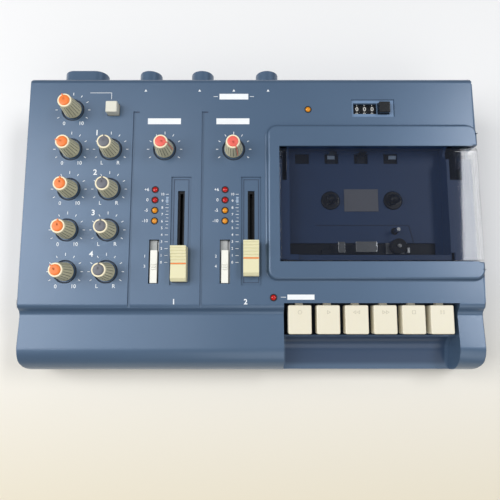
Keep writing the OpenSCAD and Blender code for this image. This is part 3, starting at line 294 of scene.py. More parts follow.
def slab(corner, opposite):
    """A box between two corners of the panel frame, in millimetres."""
    middle = [(a + b) / 2000 for a, b in zip(corner, opposite)]
    size = [abs(b - a) / 1000 for a, b in zip(corner, opposite)]
    bpy.ops.mesh.primitive_cube_add(size=1, location=middle)
    piece = bpy.context.active_object
    piece.scale = size
    bpy.ops.object.transform_apply(location=True, rotation=True, scale=True)
    return piece


def join(pieces, name):
    """Joins pieces into one, under a name."""
    pick(*pieces)
    if len(pieces) > 1:
        bpy.ops.object.join()
    piece = bpy.context.active_object
    piece.name = name
    return piece


def to_panel(piece, x=0, y=0, z=0, turn=0):
    """Turns a piece clockwise about its own z axis, sets it on the panel and applies its place."""
    step = Matrix.Translation((x / 1000, y / 1000, z / 1000))
    piece.data.transform(panel @ step @ Matrix.Rotation(-math.radians(turn), 4, "Z"))
    piece.data.update()
    return piece


def print_box(x0, y0, x1, y1):
    """A filled rectangle of ink."""
    return slab((x0, y0, ink_low), (x1, y1, ink_high))


def print_word(words, x, y, size, bold=small_bold):
    """Figures or letters of ink, centred on a place; size is the height of a figure."""
    figure_share = 0.72
    bpy.ops.object.text_add()
    text = bpy.context.active_object
    text.data.body = words
    text.data.size = size / figure_share / 1000
    text.data.align_x = "CENTER"
    text.data.align_y = "CENTER"
    text.data.offset = bold / 1000
    text.data.extrude = (ink_high - ink_low) / 2000
    text.data.resolution_u = 4
    bpy.ops.object.convert(target="MESH")
    text = bpy.context.active_object
    text.location = (x / 1000, y / 1000, (ink_low + ink_high) / 2000)
    bpy.ops.object.transform_apply(location=True, rotation=True, scale=True)
    return text


def print_arrow(x, y, size=1.6):
    """A small triangle that points to the rear."""
    bpy.ops.mesh.primitive_cylinder_add(vertices=3, radius=size / 1500,
                                        depth=(ink_high - ink_low) / 1000,
                                        location=(x / 1000, y / 1000, (ink_low + ink_high) / 2000))
    return bpy.context.active_object


# The knobs' columns and rows, the channels, and what each channel repeats.
level_x, pan_x, trim_x = -120.2, -93.7, -57.7
row_y, row_pitch, phones_y = 105.45, 27.28, 132.95
channel_pitch, fader_x = 46.05, -46.05
lamp_top, lamp_pitch = 77.8, 6.97
scale_foot, scale_step = 29.6, 4.506
rows = [row_y - i * row_pitch for i in range(4)]
channels = [0, channel_pitch]
level_dials = [(level_x, phones_y)] + [(level_x, y) for y in rows]
pan_dials = [(pan_x, y) for y in rows]
trim_dials = [(trim_x + shift, row_y) for shift in channels]
dial_places = level_dials + pan_dials + trim_dials

# Nine ticks round each knob, 30 degrees apart, the middle one a little longer.
tick_half, tick_start, tick_end, middle_tick_end = 0.2, 10.3, 11.8, 12.2
marks = []
for x, y in dial_places:
    for step in range(1, 10):
        outer = middle_tick_end if step == 5 else tick_end
        tick = slab((-tick_half, tick_start, ink_low), (tick_half, outer, ink_high))
        turn = Matrix.Rotation(math.radians(150 - 30 * step), 4, "Z")
        tick.data.transform(Matrix.Translation((x / 1000, y / 1000, 0)) @ turn)
        marks.append(tick)
# A figure or a letter at both ends of a knob's turn, so far beside and below the knob's middle.
end_size = 2.5
for dials, ends in ((level_dials, (("0", -5.5, -9.6), ("10", 6.0, -9.5))),
                    (pan_dials, (("L", -5.6, -9.4), ("R", 5.3, -9.4)))):
    for x, y in dials:
        for words, beside, below in ends:
            marks.append(print_word(words, x + beside, y + below, end_size))
# The four tracks' numbers, in a column that leans a little to the left.
tracks_x, tracks_y, tracks_lean, track_size = -103.3, 116.8, 0.1, 3.7
for i in range(4):
    marks.append(print_word(str(i + 1), tracks_x - tracks_lean * i, tracks_y - row_pitch * i,
                            track_size, large_bold))
# Each channel has a plain box over its trim knob, its number, and the levels beside its lamps.
box_left, box_front, box_right, box_rear = -69.4, 122.9, -47.2, 127.0
number_x, number_y, number_size = -49.6, 4.2, 3.4
levels_x, letter_half, level_size = -67.6, 0.6, 2.1
# Its fader scale runs from 0 to 10, with short half steps from 5 to 10.
steps_x, step_size, line_left, short_left, line_right = -58.3, 1.7, -56.2, -55.6, -54.2
half_step, thin_half = 2.25, 0.1
# Beside the record function slider stand the numbers of the two tracks that it chooses from.
slider_tracks = (("1", "3"), ("2", "4"))
choice_x, choice_y, choice_pitch, choice_size = -68.9, 33.6, 6.6, 1.9
for i, shift in enumerate(channels):
    marks.append(print_box(box_left + shift, box_front, box_right + shift, box_rear))
    marks.append(print_word(str(i + 1), number_x + shift, number_y, number_size, large_bold))
    for k, level in enumerate(("+6", "0", "-5", "-10")):
        x = levels_x + shift - letter_half * len(level)
        marks.append(print_word(level, x, lamp_top - lamp_pitch * k, level_size))
    for k in range(11):
        y = scale_foot + scale_step * k
        marks.append(print_word(str(k), steps_x + shift, y, step_size))
        marks.append(print_box(line_left + shift, y - fine_stroke / 2,
                               line_right + shift, y + fine_stroke / 2))
        if 4 < k < 10:
            between = y + half_step
            marks.append(print_box(short_left + shift, between - thin_half,
                                   line_right + shift, between + thin_half))
    for k, track in enumerate(slider_tracks[i]):
        marks.append(print_word(track, choice_x + shift, choice_y - choice_pitch * k, choice_size))
# Plain boxes at the input socket and the record lamp, with short leads, given by their corners;
# an arrow to each socket; and a lead from the phones knob to the mono button.
plain_boxes = ((-21.4, 140.4, -1.9, 144.4), (23.2, 5.65, 40.5, 8.9), (19.0, 7.1, 22.4, 7.4))
box_leads = ((-25.4, 142.3, -22.6, 142.6), (-0.8, 142.3, 2.0, 142.6))
mono_lead = ((-109, 144.95, -94.3, 145.25), (-94.6, 140.6, -94.3, 145.25))
arrows_x, arrows_y = (-71.4, -34.9, -11.7, 11.5), 146.6
marks += [print_box(*corners) for corners in plain_boxes]
marks += [print_arrow(x, arrows_y) for x in arrows_x]
marks += [print_box(*corners) for corners in box_leads + mono_lead]

# Silk-screen ink: opaque, even and dull.  The screen's threads of 0.1 mm are drawn at 0.4 mm.
ink = grained("White silk-screen ink", 0.4, 0.004, ("e4e8ec", "f2f4f5"), 4, Roughness=0.5)
settle(to_panel(join(marks, "printed_marks")), ink, "machine", "white")

# The same ink in a pale blue that hardly stands out: one bar beside the top of each fader scale.
pale_ink = grained("Pale blue silk-screen ink", 0.4, 0.004, ("8298b2", "8ea3bb"), 4, Roughness=0.5)
bars = [print_box(-55.9 + shift, 68.8, -54.4 + shift, 73.0) for shift in channels]
settle(to_panel(join(bars, "scale_bars")), pale_ink, "machine", "white")

# Painted shade, made like the ink in a dark blue: short hooks that end the grooves between the
# channels, dark as the grooves' shaded walls.
shade = grained("Dark blue line ink", 0.4, 0.004, ("24324a", "2c3b54"), 4, Roughness=0.6)
hooks = [slab((x + 0.8, 130.9, ink_low), (x + 3.4, 131.8, ink_high)) for x in (-78.5, -32.3)]
settle(to_panel(join(hooks, "groove_hook_shades")), shade, "machine", "dark_case")


# ---- Knobs ----
# Eleven fluted knobs of two-shot plastic, pushed on pot spindles: olive-ivory skirt, cream rim and
# a coloured cap with a pointer.  A dark ring of painted shade lies in the recess round each
# spindle.

body_of = {node: body for body, members in frame["record"]["behaviour"]["bodies"].items()
           for node in members}
knob_foot, knob_top, knob_high, knob_lift = 6.1, 4.4, 15.6, 0.6
body_top, rim_foot = knob_high - 0.8, knob_high - 1.7
foot_line, flute_foot, flute_end, flute_depth = 1.6, 2.2, knob_high - 2.6, 0.5
flute_count = 18
flute_pitch, groove_share = 360 / flute_count, 0.117

# Turned nylon: a dull grey that hardly shows under the knob; turning marks drawn at 0.5 mm.
spindle = grained("Pot spindle, grey nylon", 0.5, 0.01, ("6b6d70", "77797c"), Roughness=0.5)
# Moulded ABS: ivory with a cast of olive and a low sheen; 0.1 mm texture drawn at 0.6 mm.
skirt = grained("Olive-ivory ABS, satin", 0.6, 0.02, ("d0cbab", "dbd6b9"), 6, Roughness=0.42,
                Specular_IOR_Level=0.5)
# Painted shade: the same plastic, darkened to a dull brown-green in the flutes, where shade falls.
flute_shade = grained("Olive-ivory ABS, painted_shade grooves", 0.6, 0.02, ("5d5a44", "6b6852"), 4,
                 Roughness=0.6)
# The second shot, a cream ring that catches the light; nearly smooth, drawn at 0.8 mm.
rim = grained("Cream ABS rim, satin", 0.8, 0.01, ("efe3bf", "f3e8c8"), 4, Roughness=0.4)
# Smooth moulded caps in one strong colour for each job, with a small highlight on the dome.
cap_colours = {"orange": ("f08033", "ea7429"), "grey": ("6a6c74", "5f6169"),
               "coral": ("ec6a5c", "e45e52")}
caps = {colour: grained("Cap in " + colour + " ABS, satin", 0.8, 0.01, tones, 3, Roughness=0.38)
        for colour, tones in cap_colours.items()}


def faces_where(piece, test):
    """Selects the faces of a piece that pass a test, and opens it for editing."""
    pick(piece)
    bpy.ops.object.mode_set(mode="EDIT")
    bpy.ops.mesh.select_mode(type="FACE")
    bpy.ops.mesh.select_all(action="DESELECT")
    bpy.ops.object.mode_set(mode="OBJECT")
    for face in piece.data.polygons:
        face.select = test(face)
    bpy.ops.object.mode_set(mode="EDIT")


def cut_across(piece, axis, places):
    """Cuts a piece with planes square to an axis at these places."""
    pick(piece)
    bpy.ops.object.mode_set(mode="EDIT")
    for place in places:
        bpy.ops.mesh.select_all(action="SELECT")
        bpy.ops.mesh.bisect(plane_co=[place / 1000 * part for part in axis], plane_no=axis)
    bpy.ops.object.mode_set(mode="OBJECT")


def make_knob_body():
    """The fluted skirt with its rim."""
    bpy.ops.mesh.primitive_cone_add(vertices=flute_count * 8, radius1=knob_foot / 1000,
                                    radius2=knob_top / 1000, depth=(body_top - knob_lift) / 1000,
                                    location=(0, 0, (body_top + knob_lift) / 2000))
    body = bpy.context.active_object
    bpy.ops.object.transform_apply(location=True)
    cut_across(body, (0, 0, 1), (foot_line, flute_foot, flute_end, rim_foot))

    def in_groove(face):
        turn = math.degrees(math.atan2(face.center.y, face.center.x)) % flute_pitch
        level = flute_foot / 1000 < face.center.z < flute_end / 1000
        return level and abs(face.normal.z) < 0.5 and turn / flute_pitch < groove_share

    faces_where(body, in_groove)
    bpy.ops.mesh.extrude_region_shrink_fatten(
        TRANSFORM_OT_shrink_fatten={"value": -flute_depth / 1000})
    bpy.ops.object.mode_set(mode="OBJECT")
    for material in (skirt, flute_shade, rim):
        body.data.materials.append(material)
    taper = (knob_foot - knob_top) / (knob_high - knob_lift)
    # Faces sunk in the flutes take the painted shade, and the rim's faces take the cream.
    for face in body.data.polygons:
        reach = math.hypot(face.center.x, face.center.y) * 1000
        wall = knob_foot - taper * (face.center.z * 1000 - knob_lift)
        if face.center.z > (rim_foot - 0.05) / 1000:
            face.material_index = 2
        elif face.center.z > flute_foot / 1000 and reach < wall - 0.2:
            face.material_index = 1
    round_edges(body, 0.12, 2, 40)
    return body


def make_cap():
    """The cap's low dome and its pointer, which narrows towards its tip."""
    dome_radius, dome_deep, dome_middle = 3.5, 1.4, knob_high - 1.2
    edge_in, edge_up, top_in, top_up = 0.6, 0.3, 1.2, 0.15
    pointer_half, pointer_tip, tip_share = 0.75, 4.5, 0.35
    bpy.ops.mesh.primitive_cylinder_add(vertices=48, radius=dome_radius / 1000,
                                        depth=dome_deep / 1000,
                                        location=(0, 0, dome_middle / 1000))
    dome = bpy.context.active_object
    bpy.ops.object.transform_apply(location=True)
    faces_where(dome, lambda face: face.normal.z > 0.9)
    bpy.ops.mesh.inset(thickness=edge_in / 1000, depth=edge_up / 1000)
    bpy.ops.mesh.inset(thickness=top_in / 1000, depth=top_up / 1000)
    bpy.ops.object.mode_set(mode="OBJECT")
    round_edges(dome, 0.25, 3, 40)
    pointer = slab((-pointer_half, 0, knob_high - 1.4),
                   (pointer_half, pointer_tip, knob_high - 0.05))
    faces_where(pointer, lambda face: face.normal.y > 0.9)
    bpy.ops.transform.resize(value=(tip_share, 1, 1),
                             center_override=(0, pointer_tip / 1000, 0.015))
    bpy.ops.object.mode_set(mode="OBJECT")
    round_edges(pointer, 0.15, 2, 40)
    return [dome, pointer]


def make_knob(cap, lined):
    """One knob that stands at the origin with its pointer to the rear, on its pot's spindle.

    A lined knob has a stripe of its cap's colour that runs down the skirt under the pointer.
    """
    stripe_half, stripe_thick, stripe_long = 0.3, 0.5, knob_high - 3.6
    stripe_foot, stripe_in = 2.4, 0.62
    spindle_radius, spindle_long, spindle_middle = 3, 10, -4.2
    body = make_knob_body()
    tops = make_cap()
    if lined:
        stripe = slab((-stripe_half, 0, 0), (stripe_half, stripe_thick, stripe_long))
        lean = Matrix.Rotation(math.atan((knob_foot - knob_top) / (knob_high - knob_lift)), 4, "X")
        foot = Matrix.Translation((0, (knob_foot - stripe_in) / 1000, stripe_foot / 1000))
        stripe.data.transform(foot @ lean)
        tops.append(stripe)
    for piece in tops:
        piece.data.materials.append(cap)
    bpy.ops.mesh.primitive_cylinder_add(vertices=32, radius=spindle_radius / 1000,
                                        depth=spindle_long / 1000,
                                        location=(0, 0, spindle_middle / 1000))
    stem = bpy.context.active_object
    bpy.ops.object.transform_apply(location=True)
    stem.data.materials.append(spindle)
    knob = join(tops + [stem, body], "knob")
    smooth(knob, 38)
    return knob


first_knobs = {colour: make_knob(cap, colour == "coral") for colour, cap in caps.items()}
# Each knob's node, cap and place, and how far its pointer is turned clockwise from the rear.
knob_list = [("phones_level_knob", "orange", level_x, phones_y, -20)]
for i, turn in enumerate((-75, 0, 0, -45)):
    knob_list.append((f"level_knob_{i + 1}", "orange", level_x, rows[i], turn))
    knob_list.append((f"pan_knob_{i + 1}", "grey", pan_x, rows[i], 0))
for i, turn in enumerate((100, 150)):
    knob_list.append((f"trim_knob_{i + 1}", "coral", trim_x + channels[i], row_y, turn))
for node, colour, x, y, turn in knob_list:
    knob = to_panel(twin_of(first_knobs[colour], node + "_dressed"), x, y, 0, turn)
    settle(knob, None, body_of[node], "ivory", node)
for knob in first_knobs.values():
    bpy.data.objects.remove(knob)

# Painted shade: a flat, near-black ring in the recess round each knob.
shade_ring_radius, shade_ring_half, shade_ring_flat, shade_ring_z = 7.1, 0.45, 0.4, -0.7
shade_rings = []
for x, y in dial_places:
    bpy.ops.mesh.primitive_torus_add(major_segments=64, minor_segments=8,
                                     major_radius=shade_ring_radius / 1000,
                                     minor_radius=shade_ring_half / 1000,
                                     location=(x / 1000, y / 1000, shade_ring_z / 1000))
    shade_ring = bpy.context.active_object
    shade_ring.scale.z = shade_ring_flat
    bpy.ops.object.transform_apply(location=True, scale=True)
    shade_rings.append(shade_ring)
# Painted shade: a dark, dull ring at the edge of the recess round each spindle, where shade falls;
# its grain is drawn at 0.5 mm.
fibre = grained("Dark navy fibre ring", 0.5, 0.02, ("1b2636", "222e40"), 4, Roughness=0.6)
ring = to_panel(join(shade_rings, "knob_shade_rings"))
smooth(ring)
settle(ring, fibre, "machine", "dark_case")


# ---- Faders ----
# Two ivory caps with finger ridges and an orange line, pushed on the levers of slide pots.
# Near-black strips under the panel keep the slots dark as painted shade, and a thin line of
# painted shade runs round each recess floor.

fader_wide, fader_long, fader_high = 10.0, 22.5, 10.0
ridge_start, ridge_pitch, ridge_half, line_half = 2.0, 1.95, 0.28, 0.45

# Moulded ABS: a warm ivory, a little translucent, with a soft highlight; drawn at 0.9 mm.
ivory = grained("Ivory ABS, satin", 0.9, 0.01, ("dfd9b0", "e5dfbb"), Roughness=0.4,
                Subsurface_Weight=0.05, Subsurface_Radius=(0.001, 0.0008, 0.0005))
# Pad-printed ink in a shallow groove: a flat, bright orange.
orange_ink = grained("Orange printed line", 0.6, 0.005, ("e8762c", "ee8238"), 4, Roughness=0.45)
# Painted shade: near-black and dull, so that the fader slots read dark; its grain is drawn as
# tufts of 0.3 mm.
felt = grained("Black felt", 0.3, 0.08, ("050506", "0b0b0c"), 3, Roughness=0.95,
               Sheen_Weight=0.2)


def make_fader_cap():
    """A fader cap over the origin, on its lever.

    The rear half is ridged and rises to the rear.  The front half falls a little to the front and
    ends in a steep slope.
    """
    front_end, slope_long = -fader_long / 2, 2.1
    end_drop, middle_drop, front_fall, rear_drop, rear_rise = 4.4, 2.4, 0.07, 3.3, 0.33
    ridge_depth, line_depth = 0.45, 0.15
    cap = slab((-fader_wide / 2, front_end, -0.4), (fader_wide / 2, fader_long / 2, fader_high))
    ridges = [ridge_start + ridge_pitch * k for k in range(5)]
    cuts = [front_end + slope_long, -line_half, line_half]
    for y in ridges:
        cuts += [y - ridge_half, y + ridge_half]
    cut_across(cap, (0, 1, 0), cuts)
    for vertex in cap.data.vertices:
        y = vertex.co.y * 1000
        if vertex.co.z > 0:
            if y < front_end + 0.1:
                height = fader_high - end_drop
            elif y < 0.5:
                height = fader_high - middle_drop - front_fall * (y + 9)
            else:
                height = fader_high - rear_drop + rear_rise * y
            vertex.co.z = min(height, fader_high) / 1000

    def on_ridge(face):
        return face.normal.z > 0.7 and any(abs(face.center.y * 1000 - y) < 0.2 for y in ridges)

    def on_line(face):
        return face.normal.z > 0.7 and abs(face.center.y * 1000) < 0.3

    for test, depth in ((on_ridge, ridge_depth), (on_line, line_depth)):
        faces_where(cap, test)
        bpy.ops.mesh.extrude_region_move(TRANSFORM_OT_translate={"value": (0, 0, -depth / 1000)})
        bpy.ops.object.mode_set(mode="OBJECT")
    cap.data.materials.append(ivory)
    cap.data.materials.append(orange_ink)
    for face in cap.data.polygons:
        if on_line(face):
            face.material_index = 1
    round_edges(cap, 0.28, 3, 32)
    smooth(cap, 38)
    lever_half, lever_long, lever_low = 0.8, 4, -8.4
    lever = slab((-lever_half, -lever_long / 2, lever_low), (lever_half, lever_long / 2, 0))
    lever.data.materials.append(spindle)
    return join([lever, cap], "fader")


first_cap = make_fader_cap()
for i, y in enumerate((28.2, 31.7)):
    node = f"fader_cap_{i + 1}"
    cap = to_panel(twin_of(first_cap, node + "_dressed"), fader_x + channels[i], y)
    settle(cap, None, body_of[node], "ivory", node)
bpy.data.objects.remove(first_cap)

# Near-black strips under each slot, as painted shade that keeps the slot dark.
strip_in, strip_out, strip_front, strip_rear, strip_low, strip_high = 0.9, 4.4, 12, 84, -3.3, -2.7
# Thin dark lines round each recess floor, as painted shade along the recess edges.
shade_line_wide, shade_line_out, shade_line_front, shade_line_rear = 0.35, 5.0, 16.45, 84.95
slot_shades = []
shade_lines = []
for shift in channels:
    x = fader_x + shift
    for s in (-1, 1):
        slot_shades.append(slab((x + s * strip_in, strip_front, strip_low),
                           (x + s * strip_out, strip_rear, strip_high)))
    left, right = x - shade_line_out, x + shade_line_out
    for corner, opposite in (((left, shade_line_front), (left + shade_line_wide, shade_line_rear)),
                             ((right - shade_line_wide, shade_line_front), (right, shade_line_rear)),
                             ((left, shade_line_front), (right, shade_line_front + shade_line_wide)),
                             ((left, shade_line_rear - shade_line_wide), (right, shade_line_rear))):
        shade_lines.append(slab((*corner, -1.02), (*opposite, -0.82)))
settle(to_panel(join(slot_shades, "slot_shade_strips")), felt, "machine", "black")
settle(to_panel(join(shade_lines, "recess_shade_lines")), shade, "machine", "dark_case")


# ---- Record function sliders ----
# Two white sliders with three finger ridges each, moulded in ABS and pushed on slide switches.
# Each carries a pale shutter strip that slides under the panel and closes its slot.

slider_x = fader_x - 17
narrower = 0.24
under_left, under_right, under_front, under_rear = -3.0, 1.6, 9.6, 44.2
# Moulded ABS, left in its own white: clean and softly shiny; drawn at 0.9 mm.
white = grained("White ABS, satin", 0.9, 0.01, ("e6e5dc", "efeee6"), 10, Roughness=0.4)
# Punched fibre strip: a flat light grey in the slot's shade; drawn at 0.9 mm.
shutter = grained("Pale grey shutter strip", 0.9, 0.01, ("a9abaa", "b9bbb9"), 6, Roughness=0.5)
for i, shift in enumerate(channels):
    node = f"rec_switch_{i + 1}"
    slider = copy_of(node)
    for vertex in slider.data.vertices:
        vertex.co.x -= narrower * (vertex.co.x - (slider_x + shift) / 1000)
    round_edges(slider, 0.22, 2)
    smooth(slider)
    slider.data.materials.append(white)
    under = slab((slider_x + under_left + shift, under_front, -3.3),
                 (slider_x + under_right + shift, under_rear, -2.6))
    under.data.materials.append(shutter)
    slider = join([to_panel(under), slider], node + "_dressed")
    settle(slider, None, body_of[node], "white", node)


# ---- Mono button ----
# A square ivory push button, moulded in ABS, in a close hole beside the phones knob.  It clips on
# the plunger of a push switch on the panel board.

# Moulded ABS: greyer than the knobs, with a soft highlight along its rounded edges.
pale_ivory = grained("Pale ivory ABS, satin", 0.9, 0.01, ("d6d4c6", "dedccf"), 6, Roughness=0.4)
settle(dressed("mono_button", 0.6, 3), pale_ivory, body_of["mono_button"], "ivory", "mono_button")


# ---- Lamps ----
# Ten domed lamps of tinted epoxy, soldered to the panel board.  Each stands in a black nylon
# collar that is pressed in the panel.

lamp_x = -63.2
lamp_radius, lamp_flat, lamp_z = 1.78, 0.65, -0.3
collar_radius, collar_half, collar_z = 2.05, 0.35, 0.05
record_lamp, power_lamp = (14.3, 7.0), (38.4, 133.3)
red_places = [(lamp_x + shift, lamp_top - lamp_pitch * k) for shift in channels for k in (0, 1)]
red_places.append(record_lamp)
amber_places = [(lamp_x + shift, lamp_top - lamp_pitch * k) for shift in channels for k in (2, 3)]
amber_places.append(power_lamp)


def smooth_join(pieces, name):
    """Joins, smooths and places pieces of the panel."""
    piece = to_panel(join(pieces, name))
    smooth(piece)
    return piece


def make_lamps(places, name):
    """Domed lamps of one colour."""
    lamps = []
    for x, y in places:
        bpy.ops.mesh.primitive_uv_sphere_add(segments=32, ring_count=16, radius=lamp_radius / 1000,
                                             location=(x / 1000, y / 1000, lamp_z / 1000))
        dome = bpy.context.active_object
        dome.scale.z = lamp_flat
        bpy.ops.object.transform_apply(location=True, scale=True)
        lamps.append(dome)
    return smooth_join(lamps, name)


# Cast epoxy: glassy and deep in colour, brighter where the die shows through, over about 1.2 mm.
for colour, places, tint, glow in (("red", red_places, "b01414", "d21a12"),
                                   ("amber", amber_places, "d98a10", "f0a018")):
    node = colour + "_lamps"
    lens = grained("Tinted epoxy lens, " + colour, 2, 0.005, (tint, glow), 1.2, Roughness=0.15,
                   Transmission_Weight=0.25, IOR=1.5, Emission_Color=hex_colour(glow),
                   Emission_Strength=0.08)
    settle(make_lamps(places, node + "_dressed"), lens, "machine", "lamp_" + colour, node)

collars = []
for x, y in red_places + amber_places:
    bpy.ops.mesh.primitive_torus_add(major_segments=40, minor_segments=10,
                                     major_radius=collar_radius / 1000,
                                     minor_radius=collar_half / 1000,
                                     location=(x / 1000, y / 1000, collar_z / 1000))
    collars.append(bpy.context.active_object)
    bpy.ops.object.transform_apply(location=True)
# Moulded nylon: a thin black outline with a faint shine; drawn at 0.6 mm.
collar_black = grained("Black nylon, satin", 0.6, 0.01, ("141518", "1d1f23"), 3, Roughness=0.45)
settle(smooth_join(collars, "lamp_collars"), collar_black, "machine", "black")


# ---- Tape counter ----
# A housing with a blue-grey bezel, three number wheels on one axle under a clear window, and a
# black reset button.  All are mouldings; a flange under the panel holds the housing.

axle_y, axle_z = 134.2, -7.9
wheel_radius, wheel_wide, wheel_gap, wheels_x = 6.0, 4.9, 0.25, 69.4
digit_size, digit_bold, digit_sunk = 2.9, 0.08, 0.02

# Polished ABS: deep black with clear small highlights; the surface waves over about 1 mm.
gloss_black = grained("Black ABS, gloss", 1, 0.004, ("101216", "181a1f"), 4, Roughness=0.25)
# Moulded ABS, a shade lighter and shinier than the paint round it.
bezel = grained("Blue-grey ABS bezel, gloss", 1, 0.006, ("66809f", "6e88a8"), 10, Roughness=0.3)
settle(dressed("counter_housing", 0.15), bezel, "machine", "painted_case", "counter_housing")

# Pad-printed ink: crisp off-white figures without shine.
digit_white = grained("White pad-printed figures", 0.6, 0.003, ("e3e4e0", "f1f1ee"), 3,
                      Roughness=0.5)
for i, node in enumerate(("counter_hundreds", "counter_tens", "counter_units")):
    wheel = dressed(node, 0.12)
    wheel.data.materials.append(gloss_black)
    figures = []
    x = wheels_x + i * (wheel_wide + wheel_gap) + wheel_wide / 2
    axle = Matrix.Translation((x / 1000, axle_y / 1000, axle_z / 1000))
    for k in range(10):
        figure = print_word(str(k), 0, 0, digit_size, digit_bold)
        turn = Matrix.Rotation(math.radians(-36 * k), 4, "X")
        lift = Matrix.Translation((0, 0, (wheel_radius - digit_sunk) / 1000))
        figure.data.transform(axle @ turn @ lift)
        figures.append(to_panel(figure))
    digits = join(figures, "figures")
    digits.data.materials.clear()
    digits.data.materials.append(digit_white)
    settle(join([digits, wheel], node + "_dressed"), None, body_of[node], "black", node)

# Moulded acrylic: clear and glossy, seen only by its reflections; it waves over about 10 mm.
window = grained("Clear acrylic window", 10, 0.002, ("15181c", "1c2024"), 10, Roughness=0.05,
                 Alpha=0.1, IOR=1.49)
paint_node("counter_window", window)
settle(dressed("counter_reset_button", 0.6, 3), gloss_black, body_of["counter_reset_button"],
       "black", "counter_reset_button")


# ---- Cassette door ----
# One moulding of smoked acrylic with a side skirt and two arms.  It turns on pins in the ears of
# the well, and its right part shows the room as a bright reflection.

# Moulded acrylic, tinted blue-black: the well shows through it darkly under a hard gloss.  Its
# surface is flat but for a slow wave over about 50 mm, so the reflections stay whole.
smoke = grained("Smoked acrylic", 50, 0.001, ("0a1324", "0d1729"), 30, Roughness=0.04, IOR=1.49,
                Alpha=0.28, Specular_IOR_Level=0.9, Coat_Weight=0.8, Coat_Roughness=0.03)
settle(dressed("cassette_door", 0.45, 3), smoke, body_of["cassette_door"], "smoked_lid",
       "cassette_door")


# ---- Cassette well ----
# A deep tray moulded in dark blue ABS, fixed under the deck, with openings for the drive.  On its
# floor are a grey plate and moulded lines; glued felt pads lie beside two of the springs.

# Moulded ABS, left in its own dark blue: even and softly shiny; drawn at 0.6 mm.
navy = grained("Dark blue ABS, satin", 0.6, 0.004, ("25416c", "2a4876"), Roughness=0.45)
# Only the edges down to 3 mm below the panel are rounded; the floor stays one flat face.
edge_depth = 3
panel_back = panel.inverted()
well = copy_of("cassette_well")
weigh_edges(well, 50, lambda end: (panel_back @ end).z > -edge_depth / 1000)
round_edges(well, 0.3, 2, weighted=True)
smooth(well)
settle(well, navy, "machine", "well_blue", "cassette_well")

well_floor, plate_thick = -10.7, 0.4
plate = slab((63.3, 65.4, well_floor), (86.5, 80.8, well_floor + plate_thick))
round_edges(plate, 0.15, 2)
smooth(plate)
# Printed foil: flat grey with faint lines across it.  Lines 0.4 mm apart are drawn 0.83 mm apart,
# so that they show; the wave node has 20 radians of wave in a metre at scale 1.
line_pitch = 0.8267
plate_grey, shader, place = start_material("Grey printed plate", Roughness=0.5)
grain(plate_grey, shader, place, 1, 0.01)
stripes = add(plate_grey, "TexWave", {"bands_direction": "Y"}, Vector=place,
              Scale=2 * math.pi / 20 / line_pitch * 1000, Distortion=0.4)
tone = add(plate_grey, "MixRGB", Fac=stripes.outputs["Fac"], Color1=hex_colour("7a7d87"),
           Color2=hex_colour("6a6d78"))
feed(shader, Base_Color=tone.outputs["Color"])
settle(to_panel(plate), plate_grey, "machine", "pot_metal")

pad_front, pad_rear, pad_top = 102.4, 104.9, -11.5
pads = [slab((52.7, pad_front, -11.88), (57.7, pad_rear, pad_top)),
        slab((95.1, pad_front, -12.28), (100.1, pad_rear, pad_top))]
# Cut felt: a light, soft blue with no shine; fibres of 0.03 mm are drawn as tufts of 0.4 mm.
felt_blue = grained("Pale blue felt", 0.4, 0.04, ("93a8c4", "a3b6cf"), 3, Roughness=0.9,
                    Sheen_Weight=0.2)
settle(to_panel(join(pads, "well_pads")), felt_blue, "machine", "well_blue")

# One line runs across the floor, and from its right end a second one slants to the front.
line_high, slant_half, slant_long = 0.25, 0.25, 12.4
lines = [slab((43.75, 55.5, well_floor), (106.7, 56.0, well_floor + line_high))]
slant = slab((-slant_half, -slant_long, well_floor), (slant_half, 0, well_floor + line_high))
slant.data.transform(Matrix.Translation((0.1066, 0.0558, 0))
                     @ Matrix.Rotation(math.radians(13), 4, "Z"))
lines.append(slant)
# The well's own plastic where a raised line turns from the light: a darker, thin outline.
moulded = grained("Dark blue ABS, moulded line", 0.6, 0.02, ("1c2c4a", "213352"), Roughness=0.5)
settle(to_panel(join(lines, "well_lines")), moulded, "machine", "well_blue")


# ---- Tape drive ----
# Reel hubs, capstan with its flywheel, motor, pulley and belt on a pressed steel chassis; heads
# on their bridge and the pinch roller; leaf springs that press the cassette forward.

# Moulded acetal: black, waxy and smooth; drawn at 0.8 mm.
black_plastic = grained("Black acetal, satin", 0.8, 0.01, ("0e0f12", "17191d"), 4, Roughness=0.35)
# Lapped alloy: the brightest metal here, nearly a mirror; scratches drawn at 1.2 mm.
head_metal = grained("Polished head alloy", 1.2, 0.003, ("c2c6ca", "d5d8db"), 4, Metallic=1.0,
                     Roughness=0.18)
# Turned brass: warm yellow with a soft gleam; tool marks drawn at 0.8 mm.
brass = grained("Turned brass", 0.8, 0.006, ("b3924a", "c4a35a"), 4, Metallic=1.0, Roughness=0.28)
# Pressed steel with black plating: dark, with dull metallic edges; drawn at 0.8 mm.
black_steel = grained("Black plated steel", 0.8, 0.01, ("1c1d20", "25272a"), 4, Metallic=0.7,
                      Roughness=0.4)
